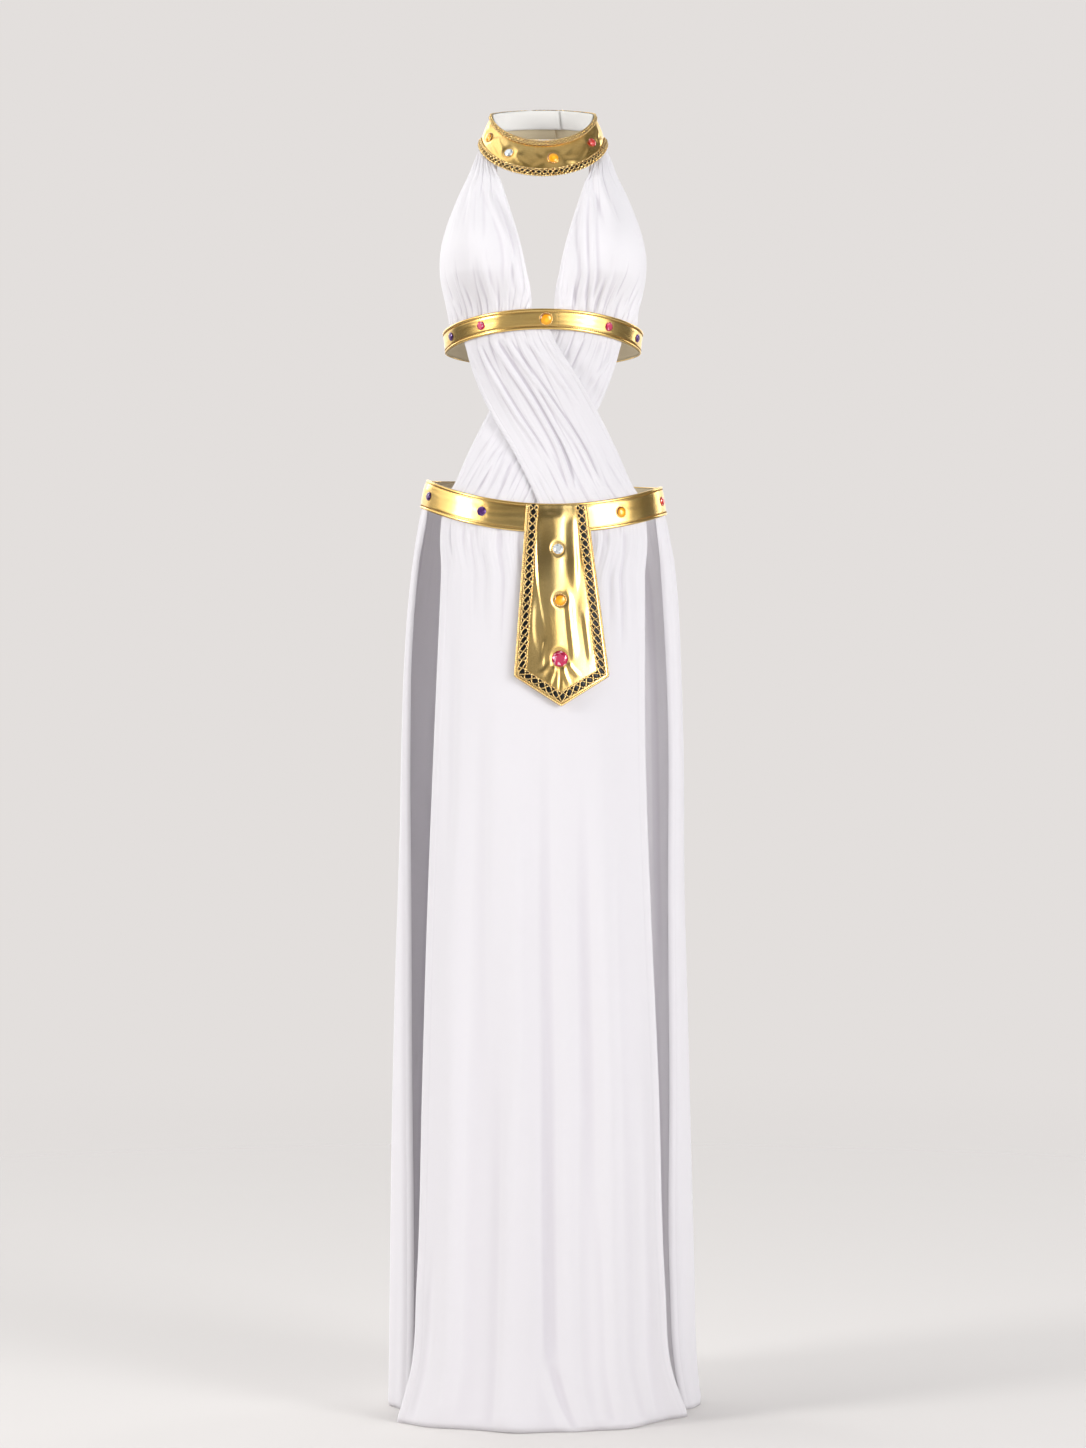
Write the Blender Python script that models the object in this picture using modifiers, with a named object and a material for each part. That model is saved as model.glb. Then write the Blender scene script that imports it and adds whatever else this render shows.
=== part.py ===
"""Queen costume: a white jersey halter dress with a gold foil collar, bust band, hip belt and tab.

Metres, +Z is up and the front faces -Y. Heights in the tables are above the floor that the hem
brushes. The origin is the middle of the neck opening, where a neck holds the costume up.
Angles run round the figure from the front: 0 is the front, 90 degrees is the side at +X.
"""

import math
from collections import namedtuple

import bmesh
import bpy
import numpy as np
from mathutils import Matrix, Vector

# Driving dimensions
NECK_HEIGHT = 1.495
JERSEY_WALL = 0.0012
FOIL_WALL = 0.0016
LINING_WALL = 0.0010
BRAID_WALL = 0.0022
SEAM_GAP = 0.0003
FACET_ROOM = 0.0003
SEAM_WAVE = 0.0006
CLOTH_OUT = 0.0060
TUCK = 0.0044
TUCK_START, TUCK_END = 0.026, 0.004
LAP = 0.026

# Walls that lie on each other, measured out from the figure to the middle of each
BAND_OUT = CLOTH_OUT + JERSEY_WALL / 2 + SEAM_WAVE + SEAM_GAP + FACET_ROOM + FOIL_WALL / 2
TAB_OUT = BAND_OUT + FOIL_WALL + SEAM_GAP + FACET_ROOM
BRAID_OUT = FOIL_WALL / 2 + SEAM_GAP + BRAID_WALL / 2
UNDER_FOIL = FOIL_WALL / 2 + SEAM_GAP + FACET_ROOM + SEAM_WAVE + JERSEY_WALL / 2
LINING_OUT = -(FOIL_WALL / 2 + SEAM_GAP + LINING_WALL / 2)


def table(columns, *rows):
    """Named columns of numbers, from rows written in the order of the names."""
    return dict(zip(columns.split(), np.array(rows, float).T))


# The general figure that the cloth hangs on, as half ellipses in front and behind
FIGURE = table(
    "height half_width front back",
    (1.300, 0.1120, 0.100, 0.084),
    (1.262, 0.1085, 0.095, 0.083),
    (1.245, 0.1065, 0.093, 0.082),
    (1.200, 0.1020, 0.087, 0.079),
    (1.150, 0.1000, 0.082, 0.078),
    (1.110, 0.1120, 0.086, 0.088),
    (1.081, 0.1285, 0.091, 0.098),
    (1.049, 0.1350, 0.096, 0.106),
    (1.020, 0.1400, 0.098, 0.110),
    (0.980, 0.1460, 0.101, 0.115),
)

# A ring's edge: its height in front, at the sides and behind, and how far its +X side rises
Edge = namedtuple("Edge", "front side back rise curve")
BUST_BAND = (Edge(1.2730, 1.2570, 1.2500, 0.0, 1.6), Edge(1.2505, 1.2325, 1.2260, 0.0, 1.6))
BELT = (Edge(1.0510, 1.0815, 1.0900, -0.004, 1.8), Edge(1.0185, 1.0485, 1.0570, -0.004, 1.8))
COLLAR = (Edge(1.4725, 1.5125, 1.5270, 0.0, 1.1), Edge(1.4300, 1.4785, 1.4960, 0.0, 1.1))
COLLAR_SPAN = table(
    "down half_width front back",
    (0.0, 0.0595, 0.050, 0.056),
    (1.0, 0.0735, 0.072, 0.066),
)
LINING_DOWN = (-0.03, 0.62)
TOP_BRAID_DOWN = (-0.02, 0.13)
BOTTOM_BRAID_DOWN = (0.84, 1.02)

# One halter panel, from its neckline edge to its side edge
HALTER = table(
    "down inner_height outer_height inner_side inner_front outer_side outer_front cup",
    (0.00, 1.449, 1.480, 0.0540, 0.047, 0.0735, -0.005, 0.004),
    (0.15, 1.426, 1.448, 0.0470, 0.064, 0.0825, 0.004, 0.006),
    (0.30, 1.400, 1.413, 0.0390, 0.080, 0.0985, 0.010, 0.012),
    (0.62, 1.343, 1.343, 0.0225, 0.101, 0.1195, 0.014, 0.033),
    (0.82, 1.304, 1.299, 0.0155, 0.105, 0.1175, 0.018, 0.026),
    (1.00, 1.268, 1.255, 0.0125, 0.102, 0.1080, 0.034, 0.006),
)
HALTER_COLLAR_ANGLES = (48, 102)
HALTER_BAND_ANGLES = (6.5, 72)
HALTER_FULLNESS = table(
    "down depth",
    (0.00, SEAM_WAVE),
    (0.07, SEAM_WAVE),
    (0.14, 0.0018),
    (0.35, 0.0016),
    (0.62, 0.0007),
    (0.86, 0.0022),
    (0.90, 0.0018),
    (0.95, SEAM_WAVE),
    (1.00, SEAM_WAVE),
)
HALTER_ROWS = (0, 0.05, 0.10, 0.18, 0.30, 0.45, 0.60, 0.74, 0.84, 0.90, 0.95, 1)
HALTER_GATHERS = 9

# The wrap on top, which runs from the bust band at -X to the belt at +X
WRAP = table(
    "down left left_height right right_height",
    (0.00, -0.0925, 1.252, 0.004, 1.2605),
    (0.12, -0.0895, 1.232, 0.015, 1.2350),
    (0.30, -0.0770, 1.192, 0.040, 1.1980),
    (0.50, -0.0585, 1.153, 0.064, 1.1570),
    (0.70, -0.0340, 1.112, 0.0865, 1.114),
    (0.88, -0.0130, 1.070, 0.104, 1.0740),
    (1.00, -0.0010, 1.041, 0.116, 1.0570),
)
WRAP_FULLNESS = table(
    "down over under",
    (0.00, SEAM_WAVE, SEAM_WAVE),
    (0.09, SEAM_WAVE, SEAM_WAVE),
    (0.22, 0.0013, 0.0007),
    (0.78, 0.0013, 0.0007),
    (0.90, SEAM_WAVE, SEAM_WAVE),
    (1.00, SEAM_WAVE, SEAM_WAVE),
)
PLEAT_SHAPE = table("part height", (0.00, -1), (0.72, 1), (0.90, -1), (1.00, -1))
WRAP_OVER_ROWS = np.linspace(0, 1, 13)
WRAP_UNDER_ROWS = np.linspace(0, 1, 19)
WRAP_PLEATS = 7

# The skirt's front panel, hanging from the belt
SKIRT_FRONT = table(
    "height left right left_front right_front middle_front",
    (1.030, -0.1165, 0.1185, 0.062, 0.060, 0.1045),
    (0.990, -0.1175, 0.1184, 0.066, 0.064, 0.1090),
    (0.900, -0.1210, 0.1184, 0.070, 0.068, 0.1125),
    (0.800, -0.1253, 0.1184, 0.072, 0.070, 0.1145),
    (0.600, -0.1330, 0.1240, 0.077, 0.075, 0.1180),
    (0.390, -0.1390, 0.1320, 0.081, 0.079, 0.1210),
    (0.155, -0.1455, 0.1385, 0.085, 0.080, 0.1250),
    (0.060, -0.1520, 0.1460, 0.086, 0.070, 0.1290),
    (0.000, -0.1685, 0.1655, 0.081, 0.040, 0.1360),
)
FRONT_ANGLES = (-55, 56)
FRONT_CURVE = 2.2
FRONT_FOLDS = table(
    "across width depth start",
    (0.13, 0.075, 0.008, 0.08),
    (0.41, 0.085, 0.010, 0.08),
    (0.62, 0.050, 0.003, 0.25),
    (0.78, 0.070, 0.009, 0.08),
    (0.98, 0.035, 0.006, 0.30),
)
FRONT_GATHERS = 13

# The skirt's back panel, whose free edges come round to the front
SKIRT_BACK = table(
    "height left right left_edge right_edge middle back",
    (1.045, 0.1430, 0.1430, 72, 66, 0.000, 0.1135),
    (0.990, 0.1520, 0.1525, 73, 64, 0.008, 0.1230),
    (0.950, 0.1575, 0.1570, 72, 63, 0.014, 0.1280),
    (0.880, 0.1625, 0.1615, 72, 63, 0.018, 0.1330),
    (0.800, 0.1660, 0.1646, 70, 63, 0.020, 0.1355),
    (0.600, 0.1705, 0.1660, 65, 62, 0.020, 0.1380),
    (0.390, 0.1735, 0.1693, 62, 61, 0.020, 0.1410),
    (0.155, 0.1760, 0.1745, 59, 58, 0.020, 0.1450),
    (0.050, 0.1775, 0.1780, 59, 60, 0.020, 0.1490),
    (0.000, 0.1785, 0.1835, 60, 63, 0.020, 0.1540),
)
BACK_FRONT_SPAN = 0.070
BACK_FOLDS = table(
    "across width depth start",
    (0.20, 0.045, 0.008, 0.20),
    (0.36, 0.040, 0.010, 0.10),
    (0.50, 0.045, 0.011, 0.12),
    (0.65, 0.040, 0.010, 0.10),
    (0.81, 0.045, 0.008, 0.20),
)
BACK_GATHERS = 17
SKIRT_TOP = 0.60
SKIRT_FULLNESS = table(
    "down depth",
    (0.000, SEAM_WAVE),
    (0.017, SEAM_WAVE),
    (0.045, 0.0018),
    (0.120, 0.0014),
    (0.300, 0.0006),
    (0.600, 0.0002),
    (1.000, 0.0001),
)
SKIRT_ROWS = (0, 0.02, 0.045, 0.09, 0.16, 0.28, 0.44, 0.62, 0.80, 0.92, 0.97, 1)

# The tab's flat outline as (x, height), from its top at +X round its point to its top at -X
TAB_OUTLINE = np.array(
    [(0.0500, 1.0505), (0.0750, 0.8545), (0.0205, 0.8205), (-0.0325, 0.8545), (-0.0185, 1.0505)]
)
TAB_STANDOFF = 0.0062
TAB_BRAID_INSET = (0.0030, 0.0120)

Stone = namedtuple("Stone", "at down radius colour")
COLLAR_STONES = (
    Stone(-70, 0.48, 0.0055, "amber"),
    Stone(-36, 0.52, 0.0053, "clear"),
    Stone(10, 0.50, 0.0064, "amber"),
    Stone(59, 0.48, 0.0053, "red"),
)
BAND_STONES = (
    Stone(-66.7, 0.5, 0.0050, "purple"),
    Stone(-37.5, 0.5, 0.0052, "pink"),
    Stone(1.7, 0.5, 0.0070, "amber"),
    Stone(40.4, 0.5, 0.0052, "pink"),
    Stone(71.0, 0.5, 0.0050, "purple"),
)
BELT_STONES = (
    Stone(-69, 0.5, 0.0052, "purple"),
    Stone(-29, 0.5, 0.0056, "purple"),
    Stone(38, 0.5, 0.0062, "amber"),
    Stone(76, 0.5, 0.0054, "red"),
)
# On the tab, a stone is placed by its x and its height
TAB_STONES = (
    Stone(0.0170, 0.999, 0.0062, "clear"),
    Stone(0.0193, 0.941, 0.0068, "amber"),
    Stone(0.0193, 0.874, 0.0092, "pink"),
)
STONE_SIDES = 10
STONE_PROFILE = ((0.0, 0.42), (0.58, 0.42), (1.0, 0.16), (1.0, 0.0), (0.0, 0.0))

MATERIALS = {
    "jersey": ((0.93, 0.92, 0.94), 0.85, 0.0),
    "gold_foil": ((0.83, 0.62, 0.24), 0.28, 1.0),
    "braid": ((0.62, 0.44, 0.16), 0.40, 1.0),
    "lining": ((0.90, 0.89, 0.86), 0.80, 0.0),
    "amber": ((0.90, 0.50, 0.02), 0.08, 0.0),
    "clear": ((0.75, 0.80, 0.82), 0.08, 0.0),
    "pink": ((0.80, 0.05, 0.22), 0.08, 0.0),
    "purple": ((0.16, 0.04, 0.28), 0.08, 0.0),
    "red": ((0.75, 0.07, 0.05), 0.08, 0.0),
}


def smooth(rows, column, key, at):
    """The column's value where the key column equals at, on a smooth curve through the rows."""
    order = np.argsort(rows[key])
    x, y = rows[key][order], rows[column][order]
    slope = np.gradient(y, x)
    at = np.clip(at, x[0], x[-1])
    i = np.clip(np.searchsorted(x, at, side="right") - 1, 0, len(x) - 2)
    span = x[i + 1] - x[i]
    t = (at - x[i]) / span
    return (
        (2 * t**3 - 3 * t**2 + 1) * y[i]
        + (t**3 - 2 * t**2 + t) * span * slope[i]
        + (3 * t**2 - 2 * t**3) * y[i + 1]
        + (t**3 - t**2) * span * slope[i + 1]
    )


def ease(at, start, end):
    """0 before start, 1 after end, and a soft step between them."""
    t = np.clip((at - start) / (end - start), 0, 1)
    return t * t * (3 - 2 * t)


def mix(first, second, share):
    return first + (second - first) * np.asarray(share)[..., None]


def between(angles, across):
    """The angle in radians, in even steps from the first to the last."""
    first, last = np.radians(angles)
    return first + (last - first) * across


def points(x, y, height):
    x, y, height = np.broadcast_arrays(x, y, height)
    return np.stack([x, y, height - NECK_HEIGHT], axis=-1)


def moved_out(surface, across, down, distance):
    """A surface's points, moved along its outward normal."""
    step = 1e-4
    here = surface(across, down)
    along = surface(across + step, down) - surface(across - step, down)
    below = surface(across, down + step) - surface(across, down - step)
    normal = np.cross(below, along)
    normal /= np.linalg.norm(normal, axis=-1, keepdims=True)
    return here + normal * np.broadcast_to(distance, here.shape[:-1])[..., None]


# The figure, the rings and the collar

def figure_point(angle, height, out):
    half_width = smooth(FIGURE, "half_width", "height", height) + out
    front = smooth(FIGURE, "front", "height", height) + out
    back = smooth(FIGURE, "back", "height", height) + out
    depth = np.where(np.cos(angle) > 0, front, back)
    return points(half_width * np.sin(angle), -depth * np.cos(angle), height)


def front_point(x, height, out):
    """The point of the figure's front at this x and height."""
    half_width = smooth(FIGURE, "half_width", "height", height) + out
    return figure_point(np.arcsin(np.clip(x / half_width, -1, 1)), height, out)


def edge_height(edge, angle):
    ahead = np.maximum(np.cos(angle), 0) ** edge.curve
    behind = np.maximum(-np.cos(angle), 0) ** edge.curve
    side = edge.side + edge.rise * np.sin(angle)
    return side + (edge.front - edge.side) * ahead + (edge.back - edge.side) * behind


def ring_height(ring, angle, down):
    top, bottom = (edge_height(edge, angle) for edge in ring)
    return top + (bottom - top) * down


def band_surface(ring, out):
    """The middle of a band that lies round the figure between its two edges."""
    return lambda angle, down: figure_point(angle, ring_height(ring, angle, down), out)


def collar_surface(angle, down):
    """The collar's middle: a cone round the neck that slopes down to the front."""
    first, last = 0, 1
    spans = {
        name: column[first] + (column[last] - column[first]) * down
        for name, column in COLLAR_SPAN.items()
    }
    depth = np.where(np.cos(angle) > 0, spans["front"], spans["back"])
    return points(
        spans["half_width"] * np.sin(angle),
        -depth * np.cos(angle),
        ring_height(COLLAR, angle, down),
    )


def lapped(surface, half_lap, rise):
    """A ring whose last stretch lies over its first one, behind, where it fastens."""
    def point(angle, down):
        raised = ease(angle, math.pi - 3 * half_lap, math.pi - 1.4 * half_lap)
        return moved_out(surface, angle, down, raised * rise)
    return point


# The dress panels

def gather_crests(count):
    """Where the gathers' crests lie across a panel, unevenly, from 0 to 1."""
    index = np.arange(count + 1)
    uneven = 0.22 * np.sin(2.4 * index) * (index > 0) * (index < count)
    return (index + uneven) / count


def gathers(across, count):
    """A wave from -1 to 1 over the gathers, with crests of uneven height."""
    turns = np.interp(across, gather_crests(count), np.arange(count + 1))
    return np.cos(2 * math.pi * turns) * (0.78 + 0.22 * np.sin(2.9 * np.round(turns)))


def gather_columns(count):
    """Four columns for each gather, on the shoulders of its crest and its trough."""
    quarter_turns = np.arange(count * 4) / 4 + 1 / 8
    inner = np.interp(quarter_turns, np.arange(count + 1), gather_crests(count))
    return np.concatenate([[0], inner, [1]])


def pleats(across, count):
    """Knife pleats from -1 to 1, of uneven width: each rises slowly and drops back at once."""
    turns = np.interp(across, gather_crests(count), np.arange(count + 1))
    return np.interp(np.mod(turns, 1), *PLEAT_SHAPE.values())


def pleat_columns(count):
    turns = np.append((np.arange(count)[:, None] + PLEAT_SHAPE["part"][:-1]).ravel(), count)
    return np.interp(turns, np.arange(count + 1), gather_crests(count))


def soft_folds(folds, across, down):
    """The long folds' depth: each is a soft ridge that grows from its start to the hem."""
    depth = np.zeros(np.broadcast(across, down).shape)
    for at, width, most, start in zip(*folds.values()):
        ridge = np.exp(-(((across - at) / width) ** 2))
        depth = depth + most * ridge * ease(down, start, start + 0.6)
    return depth


def halter_base(across, down):
    """A halter panel at +X with no gathers: out of the collar, over the bust, into the band."""
    row = {name: smooth(HALTER, name, "down", down) for name in HALTER}
    turn = across * math.pi / 2
    side = row["inner_side"] + (row["outer_side"] - row["inner_side"]) * np.sin(turn)
    front = row["outer_front"] + (row["inner_front"] - row["outer_front"]) * np.cos(turn)
    front = front + row["cup"] * np.sin(2 * turn)
    height = row["inner_height"] + (row["outer_height"] - row["inner_height"]) * across
    free = points(side, -front, height)
    collar_angle = between(HALTER_COLLAR_ANGLES, across)
    collar = moved_out(collar_surface, collar_angle, 0.76 + 4.6 * down, -UNDER_FOIL)
    band_angle = between(HALTER_BAND_ANGLES, across)
    band = band_surface(BUST_BAND, CLOTH_OUT)(band_angle, 0.42 - 9.5 * (1 - down))
    return mix(mix(free, collar, 1 - ease(down, 0.06, 0.24)), band, ease(down, 0.88, 0.955))


def halter_point(across, down):
    wave = gathers(across, HALTER_GATHERS) * np.interp(down, *HALTER_FULLNESS.values())
    return moved_out(halter_base, across, down, wave)


def mirrored(surface):
    """The same surface on the other side of the middle, still facing out."""
    return lambda across, down: surface(1 - across, down) * (-1, 1, 1)


def wrap_place(across, down):
    """The x and height of a point of the top wrap."""
    left, right, left_height, right_height = (
        smooth(WRAP, name, "down", down)
        for name in ("left", "right", "left_height", "right_height")
    )
    return left + (right - left) * across, left_height + (right_height - left_height) * across


def wrap_over_point(across, down):
    def base(across, down):
        return front_point(*wrap_place(across, down), CLOTH_OUT)
    depth = np.interp(down, WRAP_FULLNESS["down"], WRAP_FULLNESS["over"])
    return moved_out(base, across, down, pleats(across, WRAP_PLEATS) * depth)


def wrap_under_point(across, down):
    """The wrap below, a mirror of the top one that dives under it where they cross."""
    def base(across, down):
        x, height = wrap_place(1 - across, down)
        left = smooth(WRAP, "left", "left_height", height)
        right = smooth(WRAP, "right", "right_height", height)
        past_left = ease(-x, left - TUCK_START, left - TUCK_END)
        past_right = ease(x, -right - TUCK_START, -right - TUCK_END)
        covered = past_left * past_right
        return front_point(-x, height, CLOTH_OUT - TUCK * covered)
    depth = np.interp(down, WRAP_FULLNESS["down"], WRAP_FULLNESS["under"])
    return moved_out(base, across, down, pleats(across, WRAP_PLEATS) * depth)


def skirt_front_depth(across, height):
    """How far in front of the middle plane the smooth front panel hangs."""
    left, right, middle = (
        smooth(SKIRT_FRONT, name, "height", height)
        for name in ("left_front", "right_front", "middle_front")
    )
    edge = left + (right - left) * across
    return edge + (middle - edge) * (1 - np.abs(2 * across - 1) ** FRONT_CURVE)


def skirt_front_base(across, down):
    angle = between(FRONT_ANGLES, across)
    height = ring_height(BELT, angle, SKIRT_TOP) * (1 - down)
    left = smooth(SKIRT_FRONT, "left", "height", height)
    right = smooth(SKIRT_FRONT, "right", "height", height)
    free = points(left + (right - left) * across, -skirt_front_depth(across, height), height)
    return mix(figure_point(angle, height, CLOTH_OUT), free, ease(down, 0.017, 0.075))


def skirt_front_point(across, down):
    wave = gathers(across, FRONT_GATHERS) * np.interp(down, *SKIRT_FULLNESS.values())
    return moved_out(skirt_front_base, across, down, wave + soft_folds(FRONT_FOLDS, across, down))


def skirt_back_base(across, down):
    first, last = SKIRT_BACK["right_edge"][0], 360 - SKIRT_BACK["left_edge"][0]
    belt_angle = between((first, last), across)
    height = ring_height(BELT, belt_angle, SKIRT_TOP) * (1 - down)
    row = {name: smooth(SKIRT_BACK, name, "height", height) for name in SKIRT_BACK}
    first, last = np.radians(row["right_edge"]), np.radians(360 - row["left_edge"])
    angle = first + (last - first) * across
    half_width = np.where(np.sin(angle) > 0, row["right"], row["left"])
    depth = np.where(np.cos(angle) > 0, BACK_FRONT_SPAN, row["back"] - row["middle"])
    free = points(half_width * np.sin(angle), row["middle"] - depth * np.cos(angle), height)
    return mix(figure_point(belt_angle, height, CLOTH_OUT), free, ease(down, 0.017, 0.075))


def skirt_back_point(across, down):
    wave = gathers(across, BACK_GATHERS) * np.interp(down, *SKIRT_FULLNESS.values())
    return moved_out(skirt_back_base, across, down, wave + soft_folds(BACK_FOLDS, across, down))


# The tab and its braid

def tab_place(x, height):
    """The point of the tab's middle at this x and height: on the belt, then on the skirt."""
    left = smooth(SKIRT_FRONT, "left", "height", height)
    right = smooth(SKIRT_FRONT, "right", "height", height)
    depth = skirt_front_depth((x - left) / (right - left), height) + TAB_STANDOFF
    on_skirt = points(x, -depth, height)
    return mix(on_skirt, front_point(x, height, TAB_OUT), ease(height, 0.960, 1.020))


def tab_point(across, down):
    """The tab's grid: straight across the top, and down to the point along its lower edges."""
    top_right, right, tip, left, top_left = TAB_OUTLINE
    slope = 1 - np.abs(2 * across - 1)
    bottom = left[1] + (tip[1] - left[1]) * slope
    start = top_left[0] + (top_right[0] - top_left[0]) * across
    end = left[0] + (right[0] - left[0]) * across
    return tab_place(start + (end - start) * down, top_left[1] + (bottom - top_left[1]) * down)


def inset_outline(inset):
    """The tab's outline moved in by the same distance along every edge but the top."""
    along = np.diff(TAB_OUTLINE, axis=0)
    along /= np.linalg.norm(along, axis=1, keepdims=True)
    inward = np.stack([along[:, 1], -along[:, 0]], axis=1)
    starts = TAB_OUTLINE[:-1] + inward * inset
    top = (TAB_OUTLINE[0] * (0, 1), np.array((1.0, 0.0)))
    lines = [top, *zip(starts, along), top]
    corners = []
    for (here, way), (other, other_way) in zip(lines, lines[1:]):
        share, _ = np.linalg.solve(np.stack([way, -other_way], axis=1), other - here)
        corners.append(here + way * share)
    return np.array(corners)


def tab_braid_surface(across, down):
    """The braid's path round the tab: across runs along it, and down from its outer edge in."""
    knots = np.linspace(0, 1, len(TAB_OUTLINE))
    outer, inner = (inset_outline(inset) for inset in TAB_BRAID_INSET)
    place = [
        np.interp(across, knots, outer[:, k]) * (1 - down) + np.interp(across, knots, inner[:, k]) * down
        for k in (0, 1)
    ]
    return tab_place(*place)


# Making the solids

def material(name):
    if name not in bpy.data.materials:
        colour, roughness, metallic = MATERIALS[name]
        made = bpy.data.materials.new(name)
        made.use_nodes = True
        shader = made.node_tree.nodes["Principled BSDF"]
        shader.inputs["Base Color"].default_value = (*colour, 1)
        shader.inputs["Roughness"].default_value = roughness
        shader.inputs["Metallic"].default_value = metallic
        made.diffuse_color = (*colour, 1)
    return bpy.data.materials[name]


def add_object(name, mesh, finish, collection):
    mesh.materials.append(material(finish))
    made = bpy.data.objects.new(name, mesh)
    collection.objects.link(made)
    return made


def cloth(name, surface, columns, rows, wall, finish, collection):
    """An open grid of the surface's points, made a wall with Solidify."""
    across, down = np.meshgrid(columns, rows)
    grid = surface(across, down)
    row_count, column_count = across.shape
    index = np.arange(row_count * column_count).reshape(row_count, column_count)
    corners = (index[:-1, :-1], index[1:, :-1], index[1:, 1:], index[:-1, 1:])
    faces = np.stack(corners, axis=-1).reshape(-1, 4)
    mesh = bpy.data.meshes.new(name)
    mesh.from_pydata(grid.reshape(-1, 3).tolist(), [], faces.tolist())
    mesh.shade_smooth()
    made = add_object(name, mesh, finish, collection)
    solid = made.modifiers.new("wall", "SOLIDIFY")
    solid.thickness = wall
    solid.offset = 0
    return made


def stone(name, place, outward, radius, colour, collection):
    """A flat-backed stone turned from its profile, with its back on the place given."""
    profile = bmesh.new()
    ring = [profile.verts.new((radius * r, 0, radius * z)) for r, z in STONE_PROFILE]
    for first, second in zip(ring, ring[1:]):
        profile.edges.new((first, second))
    mesh = bpy.data.meshes.new(name)
    profile.to_mesh(mesh)
    profile.free()
    made = add_object(name, mesh, colour, collection)
    turned = made.modifiers.new("turned", "SCREW")
    turned.steps = turned.render_steps = STONE_SIDES
    turned.use_merge_vertices = True
    turned.merge_threshold = 0.00001
    made.location = place
    made.rotation_euler = Vector(outward).to_track_quat("Z", "Y").to_euler()
    return made


def seat_stones(prefix, stones, surface, collection):
    """Each stone's back lies just off the foil's outer face."""
    for number, (at, down, radius, colour) in enumerate(stones, 1):
        at, down = np.float64(at), np.float64(down)
        face = moved_out(surface, at, down, FOIL_WALL / 2 + SEAM_GAP)
        outward = moved_out(surface, at, down, 1.0) - surface(at, down)
        stone(f"{prefix}_stone_{number}", face, outward, radius, colour, collection)


def by_degrees(surface):
    return lambda angle, down: surface(np.radians(angle), down)


def build_collar(collection):
    half_lap = LAP / 2 / COLLAR_SPAN["back"].mean()
    ring = lapped(collar_surface, half_lap, FOIL_WALL + SEAM_GAP + FACET_ROOM)
    columns = np.linspace(-math.pi - half_lap, math.pi + half_lap, 51)
    cloth("collar", ring, columns, (0, 0.5, 1), FOIL_WALL, "gold_foil", collection)
    before_lap = columns[columns > -math.pi + 1.3 * half_lap]
    for name, (top, bottom) in (
        ("collar_braid_top", TOP_BRAID_DOWN),
        ("collar_braid_bottom", BOTTOM_BRAID_DOWN),
    ):
        def braid(angle, down, top=top, bottom=bottom):
            return moved_out(ring, angle, top + (bottom - top) * down, BRAID_OUT)
        cloth(name, braid, before_lap, (0, 1), BRAID_WALL, "braid", collection)
    def lining(angle, down):
        return moved_out(ring, angle, down, LINING_OUT)
    inside = columns[columns < math.pi - 1.3 * half_lap]
    cloth("collar_lining", lining, inside, LINING_DOWN, LINING_WALL, "lining", collection)
    seat_stones("collar", COLLAR_STONES, by_degrees(ring), collection)


def build_band(name, ring, stones, collection):
    half_lap = LAP / 2 / FIGURE["back"].mean()
    surface = lapped(band_surface(ring, BAND_OUT), half_lap, FOIL_WALL + SEAM_GAP + FACET_ROOM)
    columns = np.linspace(-math.pi - half_lap, math.pi + half_lap, 61)
    cloth(name, surface, columns, (0, 0.5, 1), FOIL_WALL, "gold_foil", collection)
    seat_stones(name, stones, by_degrees(surface), collection)


def build_halter(collection):
    columns = gather_columns(HALTER_GATHERS)
    cloth("halter_right", halter_point, columns, HALTER_ROWS, JERSEY_WALL, "jersey", collection)
    left = mirrored(halter_point)
    cloth("halter_left", left, 1 - columns[::-1], HALTER_ROWS, JERSEY_WALL, "jersey", collection)


def build_wraps(collection):
    columns = pleat_columns(WRAP_PLEATS)
    for name, surface, rows in (
        ("wrap_over", wrap_over_point, WRAP_OVER_ROWS),
        ("wrap_under", wrap_under_point, WRAP_UNDER_ROWS),
    ):
        cloth(name, surface, columns, rows, JERSEY_WALL, "jersey", collection)


def build_skirt(collection):
    for name, surface, count in (
        ("skirt_front", skirt_front_point, FRONT_GATHERS),
        ("skirt_back", skirt_back_point, BACK_GATHERS),
    ):
        cloth(name, surface, gather_columns(count), SKIRT_ROWS, JERSEY_WALL, "jersey", collection)


def build_tab(collection):
    columns, rows = np.linspace(0, 1, 9), np.linspace(0, 1, 13)
    cloth("tab", tab_point, columns, rows, FOIL_WALL, "gold_foil", collection)
    side, corner = np.linspace(0, 0.25, 15), np.linspace(0.25, 0.5, 6)
    half = np.concatenate([side, corner[1:]])
    along = np.concatenate([half, 1 - half[-2::-1]])
    def braid(across, down):
        return moved_out(tab_braid_surface, across, down, BRAID_OUT)
    cloth("tab_braid", braid, along, (0, 1), BRAID_WALL, "braid", collection)
    def face(x, drop):
        return tab_place(x, -drop)
    stones = [one._replace(down=-one.down) for one in TAB_STONES]
    seat_stones("tab", stones, face, collection)


def main():
    for old in list(bpy.data.objects):
        bpy.data.objects.remove(old)
    collection = bpy.data.collections.new("queen_costume")
    bpy.context.scene.collection.children.link(collection)
    build_collar(collection)
    build_halter(collection)
    build_band("bust_band", BUST_BAND, BAND_STONES, collection)
    build_wraps(collection)
    build_band("belt", BELT, BELT_STONES, collection)
    build_tab(collection)
    build_skirt(collection)


main()
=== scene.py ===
import math

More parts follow.
